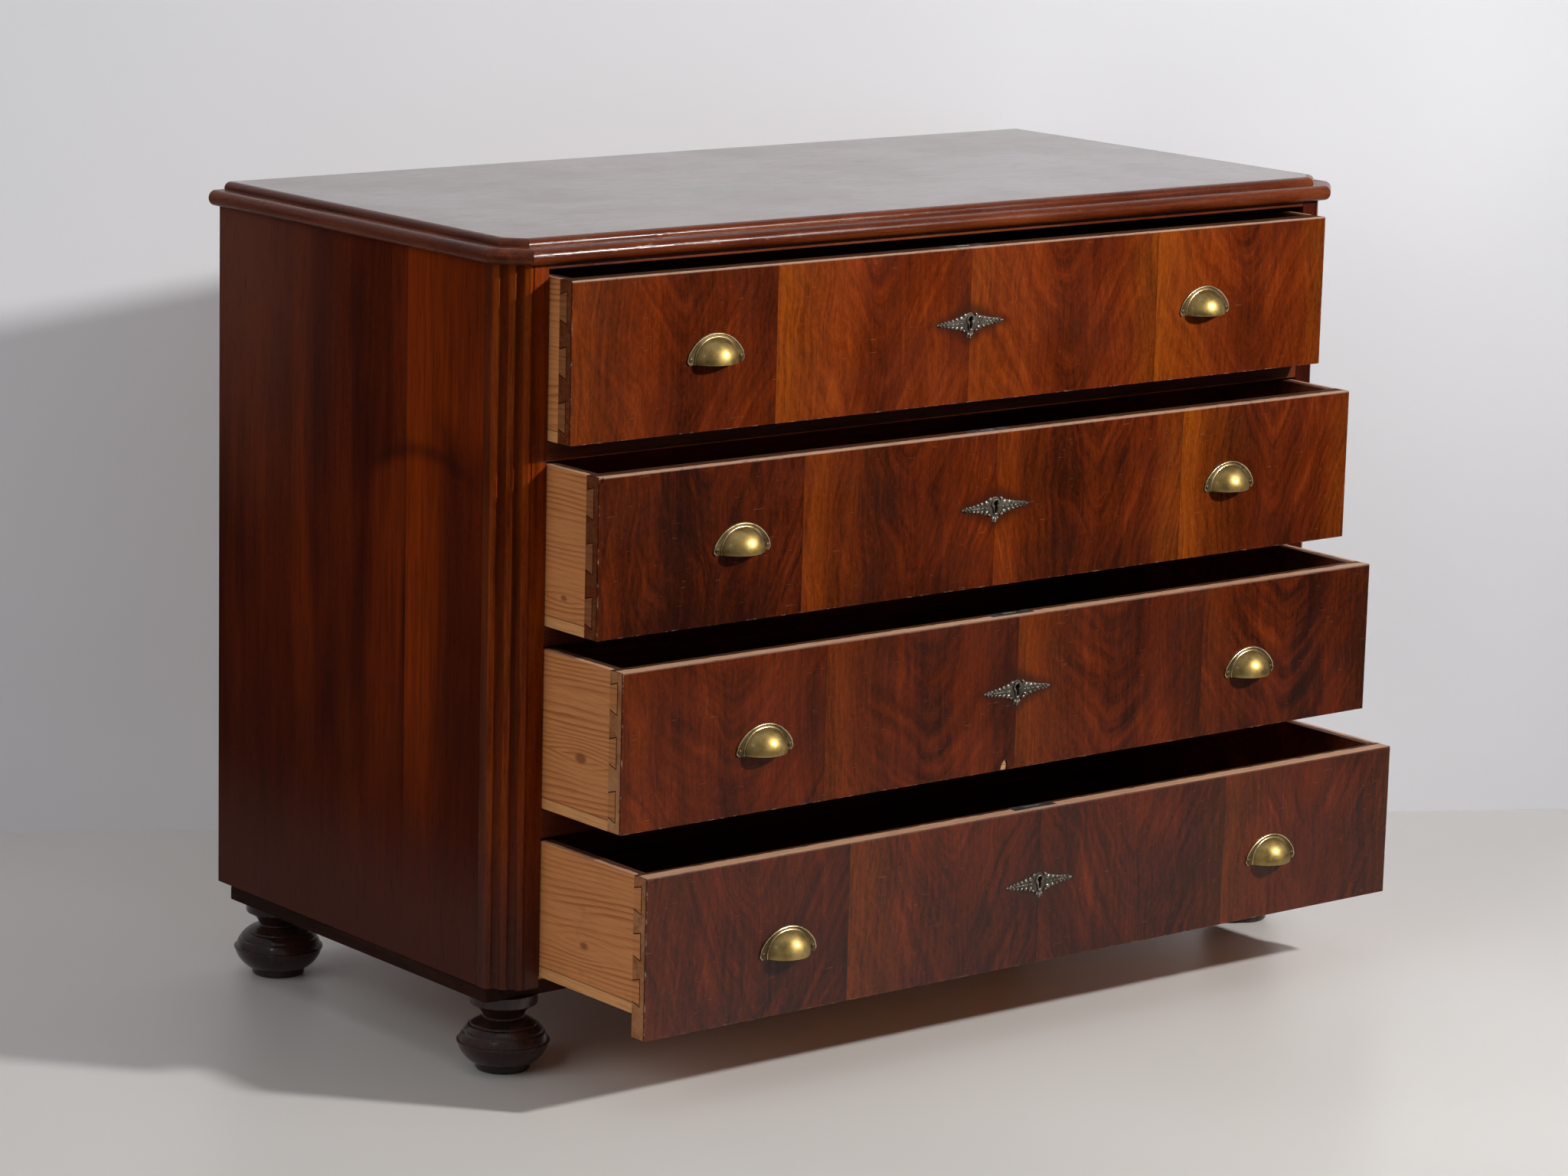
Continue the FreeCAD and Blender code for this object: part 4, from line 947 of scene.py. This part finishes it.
def oval_reach(angle, half):
    """From the same point to an oval about the escutcheon's middle."""
    across, rise = cos(angle) / half[0], sin(angle) / half[1]
    start = KEY_CENTRE_MM / half[1]
    square, middle, rest = across ** 2 + rise ** 2, rise * start, start ** 2 - 1
    return (-middle + sqrt(middle ** 2 - square * rest)) / square


def boss(form, centre, half, height, turn=0.0, power=2.0):
    """A low cast swelling: an oval dome, narrower at its ends for a power under two."""
    rings = []
    for row in range(BOSS_ROWS + 1):
        angle = pi / 2 * row / BOSS_ROWS
        share, level = max(cos(angle), 0.02), height * sin(angle)
        ring = []
        for step in range(BOSS_SEGMENTS):
            way = tau * step / BOSS_SEGMENTS
            narrowed = sin(way) * abs(sin(way)) ** (2 - power)
            x, z = turned(half[0] * share * cos(way), half[1] * share * narrowed, turn)
            ring.append(((centre[0] + x) * MM, -level * MM, (centre[1] + z) * MM))
        rings.append(ring)
    tube(form, rings)


def escutcheon_form():
    """Dull lobed plate with brighter beads, leaves and a thick ring about the keyhole."""
    form = bmesh.new()
    for sign in (-1, 1):
        for x, length, height in LOBES_MM:
            boss(form, (sign * x, 0), (length, height), 0.7, power=1.9)
        boss(form, (sign * 41.6, 0), (3.2, 1.6), 0.8, power=1.5)
    boss(form, (0, -12.4), (4.6, 3.5), 0.7)
    plate, ring = [], []
    for step in range(KEY_STEPS):
        angle = tau * step / KEY_STEPS
        inner, outer = key_reach(angle), oval_reach(angle, (8.6, 10.4))
        flat = ((inner, 0.0), (inner, 0.6), (outer - 0.5, 0.6), (outer, 0.3), (outer, 0.0))
        plate.append(around(angle, flat, KEY_CENTRE_MM))
        rim = max(inner + 1.9, min(oval_reach(angle, (5.9, 8.6)), inner + 3.0))
        middle = (inner + rim) / 2
        swell = ((inner, 0.2), (inner + 0.1, 1.7), ((inner + middle) / 2, 2.4), (middle, 2.7),
                 ((rim + middle) / 2, 2.4), (rim - 0.1, 1.6), (rim, 0.2))
        ring.append(around(angle, swell, KEY_CENTRE_MM))
    tube(form, plate, closed=True)
    for face in form.faces:
        face.material_index = 1
    before = len(form.faces)
    tube(form, ring, closed=True)
    for sign in (-1, 1):
        for index, (x, length, height) in enumerate(LOBES_MM):
            size = 0.34 * height
            for rise in (-1, 1):
                boss(form, (sign * (x + 0.8), rise * height * 0.66), (size * 1.25, size * 0.8), 1.9,
                     sign * rise * 0.5)
            boss(form, (sign * (x + 2.6), 0), (1.25, 1.0), 2.3)
            if index < 4:
                boss(form, (sign * (x - 0.6), 0), (2.0, 0.8), 1.6)
        for x, z, half, height, turn in WING_MM:
            boss(form, (sign * x, z), half, height, sign * turn)
    boss(form, (0, -12.4), (1.7, 2.0), 2.4)
    boss(form, (0, -14.9), (1.2, 1.1), 1.7)
    form.faces.ensure_lookup_table()
    for face in form.faces[before:]:
        face.material_index = int(-face.calc_center_median().y < 0.8 * MM)
    return form


escutcheon_master = escutcheon_form()
for number in DRAWERS:
    node = "drawer_%d_escutcheon" % number
    low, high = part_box(node)
    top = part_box("drawer_%d_veneer" % number)[1].z
    place = Vector((0, high.y, top - KEYHOLE_DROP))
    piece("shown_" + node, copied(escutcheon_master, place), [PEWTER, TARNISH], "drawer_%d" % number,
          "grey_brass", node, smooth=50)

# a chip out of the third front's foot and one off the second front's corner
FOOT_CHIP_MM = ((-18.5, -1), (-17.8, 3.5), (-16.2, 7.5), (-13.5, 10.8), (-10.5, 10.2), (-9.2, 6.0),
                (-9.8, 2), (-10.5, -1))
CORNER_CHIP_MM = ((-1, -8.5), (1.6, -6.2), (4.2, -4.6), (5.5, 1), (-1, 1))
low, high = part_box("drawer_3_veneer")
break_out(veneers[3], [(x * MM, low.z + z * MM) for x, z in FOOT_CHIP_MM], low.y, 1.5 * MM)
low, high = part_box("drawer_2_veneer")
break_out(veneers[2], [(low.x + x * MM, high.z + z * MM) for x, z in CORNER_CHIP_MM], low.y, 1.2 * MM)


# stage: a pale floor and a pale wall, seen from their front only

def stage_material(name, tone, tint, scale, glow, rough, centre, reach):
    """Pale paint, clear from behind and to shadow rays, and past its reach from a centre.

    A glow that only the eye and reflections see lifts it without lighting the chest."""
    shade = Shade(name)
    rays = shade.add("ShaderNodeLightPath").outputs
    eye = shade.most(rays["Is Camera Ray"], rays["Is Glossy Ray"], rays["Is Transmission Ray"])
    shade.set(Base_Color=shade.ramp(shade.noise(scale, 1), (0.3, *tone), (0.7, *tint)), Roughness=rough,
              Emission_Color=(*tone, 1), Emission_Strength=eye * glow)
    behind = shade.add("ShaderNodeNewGeometry").outputs["Backfacing"]
    aside, along = shade.x - centre[0], shade.y - centre[1]
    away = shade.root(aside * aside + along * along)
    hidden = shade.most(rays["Is Shadow Ray"], behind, away.span(*reach))
    choice = shade.add("ShaderNodeMixShader", hidden, shade.surface.outputs[0],
                       shade.add("ShaderNodeBsdfTransparent").outputs[0])
    shade.put(shade.tree.nodes["Material Output"].inputs["Surface"], choice.outputs[0])
    return shade.material


def sheet(name, corners, material):
    mesh = bpy.data.meshes.new(name)
    mesh.from_pydata(corners, [], [tuple(range(len(corners)))])
    mesh.materials.append(material)
    made = placed(name, mesh)


WALL_FROM, WALL_TO = Vector((-0.413, 0.936, 0)), Vector((1.181, 0.034, 0))
RUN, RISE = 7.0, Vector((0, 0, 3.2))
wall_way = (WALL_TO - WALL_FROM).normalized()
wall_out = Vector((-wall_way.y, wall_way.x, 0))
middle = (WALL_FROM + WALL_TO) / 2
left_end, right_end = middle - wall_way * RUN, middle + wall_way * RUN
sheet("wall", [right_end + RISE, left_end + RISE, left_end, right_end],
      stage_material("wall_paint", (0.78, 0.79, 0.83), (0.74, 0.75, 0.79), 2.5, 0.04, 0.55,
                     (0.363, 0.497), (1.2, 2.1)))
sheet("floor", [left_end + wall_out * RUN, left_end - wall_out * 2 * RUN, right_end - wall_out * 2 * RUN,
                right_end + wall_out * RUN],
      stage_material("floor_paint", (0.74, 0.72, 0.7), (0.69, 0.67, 0.65), 1.8, 0.0, 0.33,
                     (0.0, 0.0), (1.35, 2.4)))

world = bpy.data.worlds.new("studio")
scene.world = world
world.use_nodes = True
studio = Graph(world.node_tree)
AMBIENT, BACKDROP, MIRRORED = 0.08, 0.72, 0.3


def sky(strength):
    return studio.add("ShaderNodeBackground", (0.97, 0.98, 1.0, 1), strength).outputs[0]


# a pale room to the eye; reflections see its upper half only, past the lit floor it is dim
rays = studio.add("ShaderNodeLightPath").outputs
upward = studio.split(studio.add("ShaderNodeTexCoord").outputs["Generated"])[2]
mirrored = studio.most(rays["Is Glossy Ray"], rays["Is Transmission Ray"]) * upward.span(0.0, 0.25)
room = studio.add("ShaderNodeMixShader", mirrored, sky(AMBIENT), sky(MIRRORED))
room = studio.add("ShaderNodeMixShader", rays["Is Camera Ray"], room.outputs[0], sky(BACKDROP))
studio.put(studio.tree.nodes["World Output"].inputs["Surface"], room.outputs[0])


def lamp(name, place, target, size, power, colour=(1.0, 1.0, 1.0)):
    light = bpy.data.lights.new(name, "AREA")
    light.shape = "DISK"
    light.size = size
    light.energy = power
    light.color = colour
    made = placed(name, light)
    made.location = place
    made.rotation_mode = "QUATERNION"
    made.rotation_quaternion = (Vector(target) - Vector(place)).to_track_quat("-Z", "Y")
    return made


key = lamp("key", (1.2, -2.3, 1.85), (-0.6, 0.4, 0.7), 0.2, 37, (1.0, 0.98, 0.955))
key.data.spread = radians(110)
lamp("overhead", (-0.5, -0.2, 2.6), (-0.2, 0.2, 0.0), 2.4, 8, (0.97, 0.985, 1.0))
left_fill = lamp("left_fill", (-3.5, -0.2, 2.1), (-0.5, 0.05, 0.5), 3.4, 36, (1.0, 0.985, 0.97))
left_fill.visible_glossy = False
lamp("glint", (-2.6, -1.3, 1.9), (-0.3, -0.2, 0.4), 0.4, 1.8)
lamp("back_fill", (0.9, 2.4, 2.6), (0.0, 0.3, 0.5), 1.6, 4)

camera = bpy.data.cameras.new("camera")
camera.lens = 114.39
camera.sensor_width = 36
camera.clip_end = 60
viewer = placed("camera", camera)
viewer.matrix_world = Matrix.Translation((-3.2813, -3.9735, 1.475))
for degrees, axis in ((-38.9021, "Z"), (78.3242, "X"), (1.4576, "Z")):
    viewer.matrix_world = viewer.matrix_world @ Matrix.Rotation(radians(degrees), 4, axis)
scene.camera = viewer
scene.view_settings.view_transform = "Standard"
